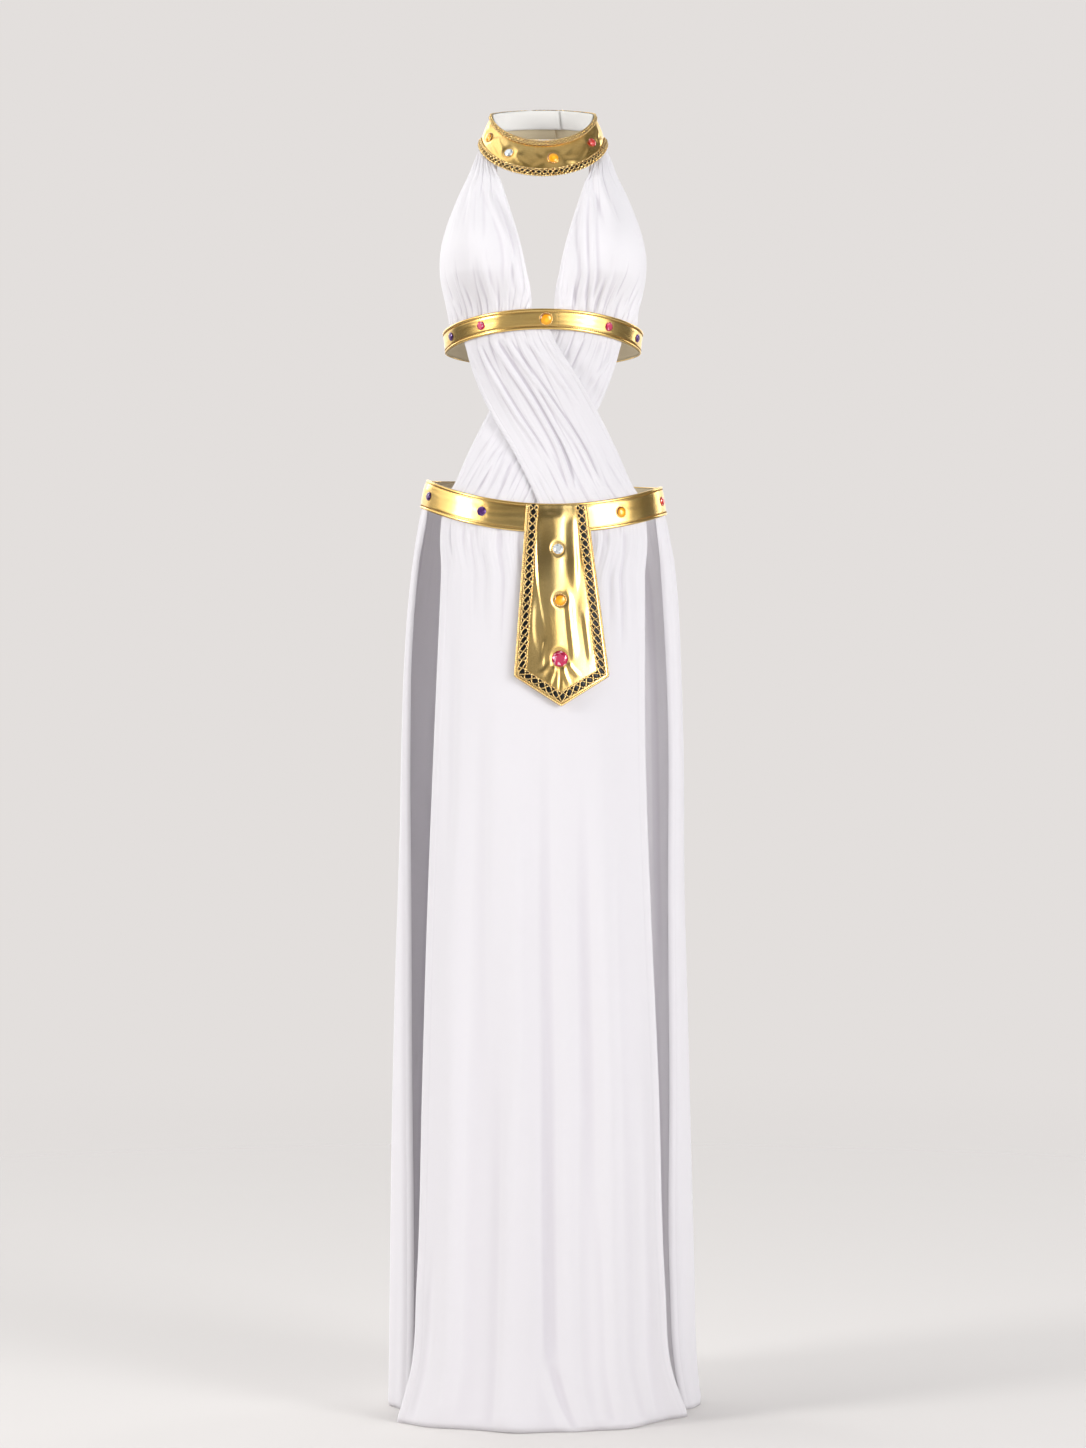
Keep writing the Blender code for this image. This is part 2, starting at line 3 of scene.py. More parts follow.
import bpy
import numpy as np
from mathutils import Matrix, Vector


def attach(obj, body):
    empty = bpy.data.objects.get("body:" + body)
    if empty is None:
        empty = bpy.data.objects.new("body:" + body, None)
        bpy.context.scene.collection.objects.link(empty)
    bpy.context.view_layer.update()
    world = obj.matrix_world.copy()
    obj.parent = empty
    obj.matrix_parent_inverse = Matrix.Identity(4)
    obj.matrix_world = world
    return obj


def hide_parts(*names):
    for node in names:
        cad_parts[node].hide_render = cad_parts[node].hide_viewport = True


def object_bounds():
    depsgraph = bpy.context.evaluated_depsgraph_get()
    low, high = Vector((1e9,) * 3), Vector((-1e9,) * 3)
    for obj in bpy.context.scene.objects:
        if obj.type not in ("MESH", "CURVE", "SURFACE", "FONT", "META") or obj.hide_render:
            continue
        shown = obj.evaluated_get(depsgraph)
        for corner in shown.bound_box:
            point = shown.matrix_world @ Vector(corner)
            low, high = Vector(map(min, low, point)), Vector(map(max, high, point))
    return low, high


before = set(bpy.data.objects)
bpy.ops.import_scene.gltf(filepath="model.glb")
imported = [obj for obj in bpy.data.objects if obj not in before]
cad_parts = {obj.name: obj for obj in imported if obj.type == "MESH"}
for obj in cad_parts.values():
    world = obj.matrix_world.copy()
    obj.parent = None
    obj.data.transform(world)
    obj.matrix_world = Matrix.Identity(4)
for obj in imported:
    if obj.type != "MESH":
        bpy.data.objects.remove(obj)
solidBox = [list(corner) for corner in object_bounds()]
print("frame loaded:", len(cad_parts), "solids")

neckHeight = 1.495  # the origin is the neck, this far above the floor
clothOut = 0.0060  # middle of the cloth, out from the figure
bandOut = 0.0086  # middle of a foil band
tabOut = 0.0108  # middle of the tab, where it lies on the belt
clothWall = 0.0006
foilWall = 0.0010
ribbonWall = 0.0003
millimetre = 0.001
halfLapLength = 0.013  # half of a ring's lap behind, along the ring
lapRise = foilWall + 0.0012
stitchInset = 0.0033  # from a band's edge to its stitches


# Camera, floor and light

view = {"distance": 4.0, "height": 0.80, "frameHeight": 1.694, "sensor": 36.0}


def makeCamera():
    data = bpy.data.cameras.new("camera")
    data.sensor_width = view["sensor"]
    data.lens = view["sensor"] * view["distance"] / view["frameHeight"]
    data.clip_start = 0.05
    camera = bpy.data.objects.new("camera", data)
    camera.location = (0, -view["distance"], view["height"] - neckHeight)
    camera.rotation_euler = (math.pi / 2, 0, 0)
    bpy.context.scene.collection.objects.link(camera)
    bpy.context.scene.camera = camera


def addNode(tree, kind, inputs=None, **settings):
    # a node with its settings and with each input given as a value or as another node's output
    node = tree.nodes.new(kind)
    for name, value in settings.items():
        setattr(node, name, value)
    for name, value in (inputs or {}).items():
        if isinstance(value, bpy.types.NodeSocket):
            tree.links.new(value, node.inputs[name])
        else:
            node.inputs[name].default_value = value
    return node


def addMath(tree, operation, first, second=0.0, third=0.0):
    inputs = {0: first, 1: second, 2: third}
    return addNode(tree, "ShaderNodeMath", inputs, operation=operation).outputs[0]


def addVector(tree, operation, first, second):
    inputs = {0: first, 1: second}
    return addNode(tree, "ShaderNodeVectorMath", inputs, operation=operation).outputs["Vector"]


def addLength(tree, vector):
    return addNode(tree, "ShaderNodeVectorMath", {0: vector}, operation="LENGTH").outputs["Value"]


def splitUp(tree, vector):
    return addNode(tree, "ShaderNodeSeparateXYZ", {0: vector}).outputs


def addNoise(tree, place, scale, **more):
    return addNode(tree, "ShaderNodeTexNoise", {"Vector": place, "Scale": scale, **more}).outputs["Fac"]


def addRange(tree, value, start, end, first, last, kind="SMOOTHSTEP"):
    # first where the value is start, last where it is end, with a soft or a straight change between
    inputs = {"Value": value, "From Min": start, "From Max": end, "To Min": first, "To Max": last}
    return addNode(tree, "ShaderNodeMapRange", inputs, interpolation_type=kind).outputs["Result"]


def addRamp(tree, value, stops):
    # a colour ramp through (place, colour) stops
    ramp = addNode(tree, "ShaderNodeValToRGB", {"Fac": value})
    while len(ramp.color_ramp.elements) < len(stops):
        ramp.color_ramp.elements.new(0.5)
    for element, (place, colour) in zip(ramp.color_ramp.elements, stops):
        element.position = place
        element.color = (*colour, 1)
    return ramp.outputs["Color"]


studio = {
    "background": (0.768, 0.738, 0.722),
    "floor": (0.80, 0.770, 0.750),
    "floorRadius": 9.0,
    "floorRings": 24,
    "floorSides": 64,
    "floorDrop": 0.0008,  # below the lowest solid
    "fadeFrom": 0.7,
    "fadeTo": 4.2,
    "skyStops": ((0.0, (0.26, 0.255, 0.25)), (0.48, (0.15, 0.148, 0.145)), (0.60, (0.11, 0.11, 0.11)),
                 (1.0, (0.16, 0.16, 0.165))),
    # soft panes of light: degrees round from the front towards +X, degrees up, the half angle
    # that is full, the half angle where it has faded out, and the strength
    "panes": (
        (46, 5, 15, 34, 2.1), (-64, 6, 8, 22, 1.2), (-92, 36, 14, 36, 1.3),
        (165, 14, 14, 36, 1.2), (-150, 16, 14, 36, 1.2), (0, 90, 18, 50, 0.3), (-5, -32, 20, 62, 0.26),
    ),
    "lights": (
        # name, place, width and height, watts, colour
        ("leftBox", (-3.1, -1.7, 0.62), (0.8, 1.8), 63, (1.0, 0.995, 0.985)),
        ("rightBox", (2.55, -2.35, 0.32), (1.1, 2.0), 50, (0.99, 0.992, 1.0)),
        ("rearLeft", (-2.2, 2.5, 1.2), (0.8, 1.8), 14, (1.0, 0.99, 0.975)),
        ("rearRight", (2.6, 2.0, 0.6), (0.7, 1.8), 14, (0.985, 0.99, 1.0)),
    ),
    "aim": (0, 0, -0.60),
}


def paneLight(tree, direction, pane):
    # strength times a smoothstep of the cosine between the direction and the pane's middle
    turn, up, full, faded = (math.radians(value) for value in pane[:4])
    middle = (math.sin(turn) * math.cos(up), -math.cos(turn) * math.cos(up), math.sin(up))
    cosine = addNode(tree, "ShaderNodeVectorMath", {0: direction, 1: middle}, operation="DOT_PRODUCT")
    return addRange(tree, cosine.outputs["Value"], math.cos(faded), math.cos(full), 0.0, pane[4])


def makeStudio():
    world = bpy.data.worlds.new("studio")
    world.use_nodes = True
    tree = world.node_tree
    tree.nodes.clear()
    direction = addNode(tree, "ShaderNodeTexCoord").outputs["Generated"]
    share = addMath(tree, "MULTIPLY_ADD", splitUp(tree, direction)["Z"], 0.5, 0.5)
    light = addRamp(tree, share, studio["skyStops"])
    for pane in studio["panes"]:
        light = addVector(tree, "ADD", light, paneLight(tree, direction, pane))
    sky = addNode(tree, "ShaderNodeBackground", {"Color": light})
    plain = addNode(tree, "ShaderNodeBackground", {"Color": (*studio["background"], 1)})
    seen = addNode(tree, "ShaderNodeLightPath").outputs["Is Camera Ray"]
    both = addNode(
        tree, "ShaderNodeMixShader",
        {0: seen, 1: sky.outputs["Background"], 2: plain.outputs["Background"]},
    )
    addNode(tree, "ShaderNodeOutputWorld", {"Surface": both.outputs["Shader"]})
    bpy.context.scene.world = world
    for name, place, size, watts, colour in studio["lights"]:
        data = bpy.data.lights.new(name, "AREA")
        data.shape = "RECTANGLE"
        (data.size, data.size_y), data.energy, data.color = size, watts, colour
        lamp = bpy.data.objects.new(name, data)
        lamp.visible_camera = False
        lamp.location = place
        way = Vector(studio["aim"]) - Vector(place)
        lamp.rotation_euler = way.to_track_quat("-Z", "Y").to_euler()
        bpy.context.scene.collection.objects.link(lamp)
    bpy.context.scene.view_settings.view_transform = "Standard"


def makeFloor():
    # a disc of rings, x = r cos a and y = r sin a, whose rim fades into the background
    radius, turn = np.meshgrid(
        np.linspace(0.02, 1, studio["floorRings"]) ** 1.5 * studio["floorRadius"],
        evenTurns(studio["floorSides"]),
        indexing="ij",
    )
    level = np.full(radius.shape, solidBox[0][2] - studio["floorDrop"])
    ringPoints = np.stack([radius * np.cos(turn), radius * np.sin(turn), level], axis=-1)
    faces = [gridFaces(*radius.shape, wrapped=True), np.arange(studio["floorSides"])[None, :]]
    floor = addMesh("floor", ringPoints.reshape(-1, 3), faces)
    shader, tree = newMaterial("floorPaper")
    place = addNode(tree, "ShaderNodeTexCoord").outputs["Object"]
    rim = addRange(tree, addLength(tree, place), studio["fadeFrom"], studio["fadeTo"], 1.0, 0.0)
    setInputs(shader, {"Base Color": (*studio["floor"], 1), "Roughness": 0.75})
    tree.links.new(rim, shader.inputs["Alpha"])
    floor.data.materials.append(bpy.data.materials["floorPaper"])


# Mesh making

def evenTurns(count):
    return np.linspace(0, 2 * math.pi, count, endpoint=False)


def unit(vectors):
    return vectors / np.linalg.norm(vectors, axis=-1, keepdims=True)


def gridFaces(rowCount, columnCount, wrapped=False):
    # four corners of each cell: here, below, below and along, along
    index = np.arange(rowCount * columnCount).reshape(rowCount, columnCount)
    if wrapped:
        index = np.concatenate([index, index[:, :1]], axis=1)
    corners = (index[:-1, :-1], index[1:, :-1], index[1:, 1:], index[:-1, 1:])
    return np.stack(corners, axis=-1).reshape(-1, 4)


def addMesh(name, places, faces, uv=None, rounded=True):
    # faces is one array, or a list of arrays whose faces have different numbers of corners
    groups = faces if isinstance(faces, list) else [faces]
    mesh = bpy.data.meshes.new(name)
    mesh.from_pydata(places.tolist(), [], [face for group in groups for face in group.tolist()])
    if uv is not None:
        corner = np.empty(len(mesh.loops), np.int32)
        mesh.loops.foreach_get("vertex_index", corner)
        layer = mesh.uv_layers.new(name="cloth")
        layer.data.foreach_set("uv", uv[corner].astype(np.float32).ravel())
    mesh.shade_smooth() if rounded else mesh.shade_flat()
    made = bpy.data.objects.new(name, mesh)
    bpy.context.scene.collection.objects.link(made)
    return made


def joinShapes(shapes):
    # one set of points, faces and UVs from many
    start = np.cumsum([0] + [len(places) for places, _, _ in shapes])
    places = np.concatenate([shape[0] for shape in shapes])
    faces = [group + offset for shape, offset in zip(shapes, start) for group in shape[1]]
    return places, faces, np.concatenate([shape[2] for shape in shapes])


def addWall(made, thickness, offset=0):
    # a wall with half its thickness on each side, or all of it behind with an offset of -1
    wall = made.modifiers.new("wall", "SOLIDIFY")
    wall.thickness, wall.offset = thickness, offset
    return wall


def addNet(name, places, uv):
    # a grid of points as a mesh
    return addMesh(name, places.reshape(-1, 3), gridFaces(*places.shape[:2]), uv.reshape(-1, 2))


def finishPiece(made, finish, nodes):
    # gives a piece its material and body, in place of the solids whose nodes are given
    made.data.materials.append(bpy.data.materials[finish])
    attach(made, "root")
    if nodes:
        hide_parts(*nodes)
    return made


# Shape helpers

def table(columns, *rows):
    # named columns of numbers
    return dict(zip(columns.split(), np.array(rows, float).T))


def smooth(rows, column, key, at):
    # a cubic through the rows, y = h0 y0 + h1 s0 + h2 y1 + h3 s1, with slopes from the rows beside
    order = np.argsort(rows[key])
    x, y = rows[key][order], rows[column][order]
    slope = np.gradient(y, x)
    at = np.clip(at, x[0], x[-1])
    i = np.clip(np.searchsorted(x, at, side="right") - 1, 0, len(x) - 2)
    span = x[i + 1] - x[i]
    t = (at - x[i]) / span
    return (
        (2 * t**3 - 3 * t**2 + 1) * y[i] + (t**3 - 2 * t**2 + t) * span * slope[i]
        + (3 * t**2 - 2 * t**3) * y[i + 1] + (t**3 - t**2) * span * slope[i + 1]
    )


def ease(at, start, end):
    # 0 before start, 1 after end, 3 t^2 - 2 t^3 between
    t = np.clip((at - start) / (end - start), 0, 1)
    return t * t * (3 - 2 * t)


def mix(first, second, share):
    return first + (second - first) * np.asarray(share)[..., None]


def between(angles, across):
    first, last = np.radians(angles)
    return first + (last - first) * across


def points(x, y, height):
    x, y, height = np.broadcast_arrays(x, y, height)
    return np.stack([x, y, height - neckHeight], axis=-1)


def slopes(surface, across, down):
    # the surface's change along each way, from points a little before and after
    step = 1e-4
    along = (surface(across + step, down) - surface(across - step, down)) / (2 * step)
    below = (surface(across, down + step) - surface(across, down - step)) / (2 * step)
    return along, below


def outward(surface, across, down):
    along, below = slopes(surface, across, down)
    return unit(np.cross(below, along))


def spans(surface, across, down):
    # how far the surface runs along each way, in metres for a step of 1
    return tuple(np.linalg.norm(way, axis=-1) for way in slopes(surface, across, down))


def movedOut(surface, across, down, distance):
    # surface point + unit normal * distance
    return surface(across, down) + outward(surface, across, down) * np.asarray(distance)[..., None]


def crest(offset):
    # a soft ridge with a shallow trough on each side: (1 - 0.45 u^2) e^(-u^2 / 1.6)
    return (1 - 0.45 * offset**2) * np.exp(-(offset**2) / 1.6)


def foldSum(across, down, acrossSize, downSize, folds):
    # the sum of leaning crests. Each runs along across = parabola through its three points, and fades
    # in over its head and out over its tail; its width is measured square to its line, in metres
    total = np.zeros(np.broadcast(across, down).shape)
    for a1, d1, a2, d2, a3, d3, width, depth, lean, head, tail in folds:
        t = (down - d1) / (d3 - d1)
        middle = (d2 - d1) / (d3 - d1)
        bend = (a2 - a1 - (a3 - a1) * middle) / (middle * (middle - 1))
        centre = a1 + (a3 - a1) * t + bend * t * (t - 1)
        slant = ((a3 - a1) + bend * (2 * t - 1)) / (d3 - d1)
        square = downSize / np.hypot(downSize, slant * acrossSize)
        offset = (across - centre) * acrossSize * square
        offset = offset / (width * np.where(offset > 0, 1 + lean, 1 - lean))
        fade = ease(t, 0, max(head, 1e-3)) * (1 - ease(t, 1 - max(tail, 1e-3), 1))
        total += depth * fade * crest(offset)
    return total


def placedFolds(surface, creases):
    # creases are given as seen from the front, x and height in mm at their top, middle and end;
    # each place becomes the across and down of the nearest point of a fine net on the surface
    columns, rows = 161, 241
    across, down = np.meshgrid(np.linspace(0, 1, columns), np.linspace(0, 1, rows))
    net = surface(across, down)
    folds = []
    for crease in creases:
        spots = []
        for x, height in zip(crease[0:6:2], crease[1:6:2]):
            miss = (net[..., 0] - x * millimetre) ** 2
            miss = miss + (net[..., 2] + neckHeight - height * millimetre) ** 2
            nearest = miss.argmin()
            spots += [across.flat[nearest], down.flat[nearest]]
        width, depth, lean, head, tail = crease[6:]
        folds.append((*spots, width * millimetre, depth * millimetre, lean, head, tail))
    return folds


def seamGathers(seed, count, reach, width, depth, fan, rising=False):
    # small folds that leave a seam, unevenly spaced, each with its own reach, width, depth and lean.
    # reach is the longest as a share of the panel, fan spreads them away from the middle, and those
    # that rise leave the seam at the panel's foot
    draw = np.random.default_rng(seed)
    place = (np.arange(count) + draw.uniform(0.1, 0.9, count)) / count
    length = reach * draw.uniform(0.25, 1.0, count) ** 1.4
    wide = width * draw.uniform(0.6, 1.5, count) * millimetre
    deep = depth * draw.uniform(0.35, 1.25, count) * millimetre
    drift = fan * (place - 0.5) + draw.normal(0, 0.012, count)
    folds = []
    for a, l, w, h, move, lean in zip(place, length, wide, deep, drift, draw.uniform(-0.35, 0.35, count)):
        if rising:
            folds.append((a + move, 1 - l, a + move * 0.4, 1 - l * 0.5, a, 1.02, w, h, lean, 0.75, 0.02))
        else:
            folds.append((a, -0.02, a + move * 0.4, l * 0.5, a + move, l, w, h, lean, 0.02, 0.75))
    return folds


def pleats(across, seed, count):
    # rounded gathers with narrow valleys between them: (sin^2(pi n w) + e)^0.3 - 0.7, where e keeps
    # a valley as wide as the net can show, and w is across, bent by slow sines so that no two are
    # alike; all of it times a slow unevenness
    draw = np.random.default_rng(seed)
    bent, height = across, 0.72
    for cycles in (1.7, 3.1, 5.3, 9.2):
        bent = bent + draw.uniform(0.10, 0.24) / (2 * math.pi * cycles) * np.sin(
            2 * math.pi * cycles * across + draw.uniform(0, 6.28))
        height = height + 0.16 * np.sin(2 * math.pi * 2.3 * cycles * across + draw.uniform(0, 6.28))
    least = (count / 60) ** 2
    return height * ((np.sin(math.pi * count * bent) ** 2 + least) ** 0.3 - 0.7)


def gathered(across, toSeam, rows):
    # pleats that fade away from their seam: seed, count, depth in mm and reach in metres, and the
    # share by which they fan out from the middle
    total = 0
    for seed, count, depth, reach, fan in rows:
        fanned = 0.5 + (across - 0.5) / (1 + fan * toSeam / reach)
        uneven = reach * (0.65 + 0.35 * np.sin(across * 37.0 + seed))
        fade = 1 - ease(toSeam, 0.1 * uneven, uneven)
        total = total + depth * millimetre * pleats(fanned, seed, count) * fade
    return total


def hollowsForPaintedShade(raised):
    # how far each place lies below the mean of its neighbours across, in mm, over three distances,
    # of which the nearest counts most; it sets where painted shade darkens the cloth in its fold valleys
    total, weight = 0, 2.6
    for step in (1, 3, 6):
        beside = np.pad(raised, ((0, 0), (step, step)), mode="edge")
        below = (beside[:, :-2 * step] + beside[:, 2 * step:]) / 2 - raised
        total = total + below * weight / step
    return np.clip(total / millimetre, -1, 3)


def softLimit(depth, limit):
    # depth held between -limit and limit: limit * tanh(depth / limit)
    return limit * np.tanh(depth / limit)


def turnedEdge(distance, hem):
    # a hem seen from outside: a low step up, a stitched groove at its inner end, a curled last stretch
    step = hem["rise"] * (1 - ease(distance, hem["width"] * 0.9, hem["width"] * 1.15))
    groove = -hem["groove"] * np.exp(-(((distance - hem["width"]) / 0.0010) ** 2))
    curl = -hem["curl"] * np.clip(1 - distance / hem["reach"], 0, 1) ** 2
    return step + groove + curl


def ripple(u, v, seed, size, count=7):
    # soft unevenness from -1 to 1: the mean of sines over count directions, each line bent by a
    # slower sine; u and v in metres, size the usual gap
    draw = np.random.default_rng(seed)
    total = 0
    for _ in range(count):
        way, phase, stretch = draw.uniform(0, math.pi), draw.uniform(0, 6.28, 2), draw.uniform(0.6, 1.7)
        run = (u * math.cos(way) + v * math.sin(way)) / (size * stretch)
        side = (v * math.cos(way) - u * math.sin(way)) / (size * stretch)
        total = total + np.sin(2 * math.pi * run + phase[0] + 0.9 * np.sin(side * 2.1 + phase[1]))
    return total / count


def edgeDense(count, share=0.6):
    # 0 to 1 with closer steps near both ends: u - share sin(2 pi u) / (2 pi)
    even = np.linspace(0, 1, count)
    return even - share * np.sin(2 * math.pi * even) / (2 * math.pi)


def lapped(surface, halfLap, rise):
    # a ring whose last stretch lies over its first one behind, raised by a soft step
    def place(angle, down):
        raised = ease(angle, math.pi - 3 * halfLap, math.pi - 1.4 * halfLap)
        return movedOut(surface, angle, down, raised * rise)
    return place


# The figure and the rings

figureRows = table(
    "height halfWidth front back",
    (1.300, 0.1120, 0.100, 0.084),
    (1.262, 0.1085, 0.095, 0.083),
    (1.245, 0.1065, 0.093, 0.082),
    (1.200, 0.1020, 0.087, 0.079),
    (1.150, 0.1000, 0.082, 0.078),
    (1.110, 0.1120, 0.086, 0.088),
    (1.081, 0.1285, 0.091, 0.098),
    (1.049, 0.1350, 0.096, 0.106),
    (1.020, 0.1400, 0.098, 0.110),
    (0.980, 0.1460, 0.101, 0.115),
)


def figurePoint(angle, height, out):
    # half ellipses: x = w sin a and y = -d cos a, with d the front or the back depth
    halfWidth, front, back = (
        smooth(figureRows, name, "height", height) + out for name in ("halfWidth", "front", "back")
    )
    depth = np.where(np.cos(angle) > 0, front, back)
    return points(halfWidth * np.sin(angle), -depth * np.cos(angle), height)


def frontPoint(x, height, out):
    halfWidth = smooth(figureRows, "halfWidth", "height", height) + out
    return figurePoint(np.arcsin(np.clip(x / halfWidth, -1, 1)), height, out)


def ringHeight(ring, angle, down):
    # each edge is side + (front - side) cos^c ahead and side + (back - side) |cos|^c behind
    ahead, behind = (np.maximum(way * np.cos(angle), 0) ** ring["curve"] for way in (1, -1))
    top, bottom = (
        side + rise * np.sin(angle) + (front - side) * ahead + (back - side) * behind
        for front, side, back, rise in (ring["top"], ring["bottom"])
    )
    return top + (bottom - top) * down


def bandSurface(ring, out):
    return lambda angle, down: figurePoint(angle, ringHeight(ring, angle, down), out)


# Materials

def newMaterial(name):
    made = bpy.data.materials.new(name)
    made.use_nodes = True
    return made.node_tree.nodes["Principled BSDF"], made.node_tree


def setInputs(shader, values):
    for name, value in values.items():
        shader.inputs[name].default_value = value


def newGroup(name, inputs, outputs):
    # a shader node group with named value or vector inputs and value outputs
    group = bpy.data.node_groups.new(name, "ShaderNodeTree")
    for label, kind, value in inputs:
        group.interface.new_socket(label, in_out="INPUT", socket_type=kind).default_value = value
    for label in outputs:
        group.interface.new_socket(label, in_out="OUTPUT", socket_type="NodeSocketFloat")
    return group, addNode(group, "NodeGroupInput").outputs, addNode(group, "NodeGroupOutput")


def placeGroup(tree, name, inputs):
    return addNode(tree, "ShaderNodeGroup", inputs, node_tree=bpy.data.node_groups[name]).outputs


def makeKnitGroup():
    # fine wales |sin(pi u / gap)| crossed by courses, with a slow unevenness
    group, given, result = newGroup(
        "knitFace",
        (("Coordinate", "NodeSocketVector", (0, 0, 0)), ("Gap", "NodeSocketFloat", 0.0007),
         ("Unevenness", "NodeSocketFloat", 1.0)),
        ("Height", "Shade"),
    )
    place = splitUp(group, given["Coordinate"])
    wale = addMath(group, "MULTIPLY", addMath(group, "DIVIDE", place["X"], given["Gap"]), math.pi)
    course = addMath(group, "MULTIPLY", addMath(group, "DIVIDE", place["Y"], given["Gap"]), 2 * math.pi)
    rows = addMath(group, "ABSOLUTE", addMath(group, "SINE", wale))
    loops = addMath(group, "MULTIPLY_ADD", addMath(group, "SINE", course), 0.25, 0.5)
    slow = addNoise(group, given["Coordinate"], 60.0, Detail=4.0)
    slow = addMath(group, "MULTIPLY", slow, given["Unevenness"])  # 0 is a machine-even cloth
    knit = addMath(group, "ADD", rows, loops)
    group.links.new(addMath(group, "MULTIPLY_ADD", slow, 2.5, knit), result.inputs["Height"])
    group.links.new(addMath(group, "MULTIPLY_ADD", knit, 0.35, slow), result.inputs["Shade"])


def makeCreaseGroup():
    # hair-fine creases along the cloth: sharp valleys |2n - 1|^0.6 of a noise drawn out along v,
    # strongest within Reach of the gathered ends at v = 0 and v = Length
    group, given, result = newGroup(
        "fineCreases",
        (("Coordinate", "NodeSocketVector", (0, 0, 0)), ("Gap", "NodeSocketFloat", 0.004),
         ("Length", "NodeSocketFloat", 0.25), ("Reach", "NodeSocketFloat", 0.06),
         ("Everywhere", "NodeSocketFloat", 0.2)),
        ("Height",),
    )
    place = splitUp(group, given["Coordinate"])
    drawn = addVector(group, "MULTIPLY", given["Coordinate"], (1.0, 0.02, 1.0))
    lines = addNoise(group, drawn, addMath(group, "DIVIDE", 0.5, given["Gap"]), Detail=0.0)
    valley = addMath(group, "ABSOLUTE", addMath(group, "MULTIPLY_ADD", lines, 2.0, -1.0))
    valley = addMath(group, "POWER", valley, 0.6)
    toEnd = addMath(group, "MINIMUM", place["Y"], addMath(group, "SUBTRACT", given["Length"], place["Y"]))
    near = addRange(group, toEnd, 0.0, given["Reach"], 1.0, given["Everywhere"])
    group.links.new(addMath(group, "MULTIPLY", valley, near), result.inputs["Height"])


def makeFoilGroup():
    # foil film on cloth: soft waves drawn out along one way, two sizes of leather-like grain, and a
    # slow drift of tint; Stretch shortens the coordinate along which the waves are long
    group, given, result = newGroup(
        "foilFace",
        (("Coordinate", "NodeSocketVector", (0, 0, 0)), ("Stretch", "NodeSocketVector", (1, 1, 1)),
         ("Wave Size", "NodeSocketFloat", 0.012), ("Grain", "NodeSocketFloat", 1.0)),
        ("Height", "Grain", "Tint"),
    )
    drawn = addVector(group, "MULTIPLY", given["Coordinate"], given["Stretch"])
    scale = addMath(group, "DIVIDE", 1.0, given["Wave Size"])
    waves = addNoise(group, drawn, scale, Detail=1.5, Roughness=0.35, Distortion=0.3)
    tint = addNoise(group, drawn, addMath(group, "MULTIPLY", scale, 0.4))
    pores, grain = (addNoise(group, given["Coordinate"], size, Detail=2.0) for size in (1050.0, 2300.0))
    grain = addMath(group, "MULTIPLY_ADD", pores, 0.6, addMath(group, "MULTIPLY", grain, 0.4))
    rough = addMath(group, "MULTIPLY", addMath(group, "MULTIPLY", grain, given["Grain"]), 0.16)
    group.links.new(addMath(group, "MULTIPLY_ADD", waves, 1.4, rough), result.inputs["Height"])
    group.links.new(grain, result.inputs["Grain"])
    group.links.new(tint, result.inputs["Tint"])


def makeTwistGroup():
    # strands laid round a cord: |sin(pi (u / lay + v))|, u in metres along it and v round it
    group, given, result = newGroup(
        "cordTwist",
        (("Coordinate", "NodeSocketVector", (0, 0, 0)), ("Lay", "NodeSocketFloat", 0.0016)),
        ("Height",),
    )
    place = splitUp(group, given["Coordinate"])
    turns = addMath(group, "ADD", addMath(group, "DIVIDE", place["X"], given["Lay"]), place["Y"])
    strand = addMath(group, "ABSOLUTE", addMath(group, "SINE", addMath(group, "MULTIPLY", turns, math.pi)))
    group.links.new(strand, result.inputs["Height"])


def clothMap(tree):
    return addNode(tree, "ShaderNodeUVMap", uv_map="cloth").outputs["UV"]


def bumpInto(tree, shader, height, strength, distance):
    bump = addNode(tree, "ShaderNodeBump", {"Strength": strength, "Distance": distance, "Height": height})
    tree.links.new(bump.outputs["Normal"], shader.inputs["Normal"])


# painted shade in the cloth's fold valleys: a hollow of 1 mm counts as this share, and the painted shade
# grows between the other two
paintedFoldShade = {"share": 0.4, "from": 0.08, "to": 0.75}


def makeCloth(name, part):
    # matt cloth whose shade moves a little with its knit, with painted shade darkening the hollows of
    # its folds, under fine creases that its gathers leave
    shader, tree = newMaterial(name)
    place = clothMap(tree)
    knit = placeGroup(tree, "knitFace", {"Coordinate": place, "Gap": part["gap"],
                                         "Unevenness": part["uneven"]})
    shade = addRamp(tree, knit["Shade"], ((0.15, part["dark"]), (0.70, part["light"])))
    if "creases" in part:
        # painted shade: the colour is pulled towards the painted shade colour where the fold geometry is
        # hollow
        hollow = addNode(tree, "ShaderNodeAttribute", attribute_name="hollow").outputs["Fac"]
        hollow = addMath(tree, "MULTIPLY", hollow, paintedFoldShade["share"])
        paintedShadeTint = addRamp(tree, hollow, ((paintedFoldShade["from"], (1.0, 1.0, 1.0)), (paintedFoldShade["to"], part["fold"])))
        shade = addVector(tree, "MULTIPLY", shade, paintedShadeTint)
    tree.links.new(shade, shader.inputs["Base Color"])
    setInputs(shader, {
        "Roughness": 0.78, "Specular IOR Level": 0.25, "Sheen Weight": part["sheen"],
        "Sheen Roughness": 0.45, "Subsurface Weight": part["through"],
        "Subsurface Radius": (1.0, 1.0, 1.0), "Subsurface Scale": 0.0012,
    })
    height = addMath(tree, "MULTIPLY", knit["Height"], part["knit"])
    if "creases" in part:
        gap, length, reach, everywhere, deep = part["creases"]
        fine = placeGroup(tree, "fineCreases", {"Coordinate": place, "Gap": gap, "Length": length,
                                                "Reach": reach, "Everywhere": everywhere})
        height = addMath(tree, "MULTIPLY_ADD", fine["Height"], deep, height)
    bumpInto(tree, shader, height, 1.0, millimetre)


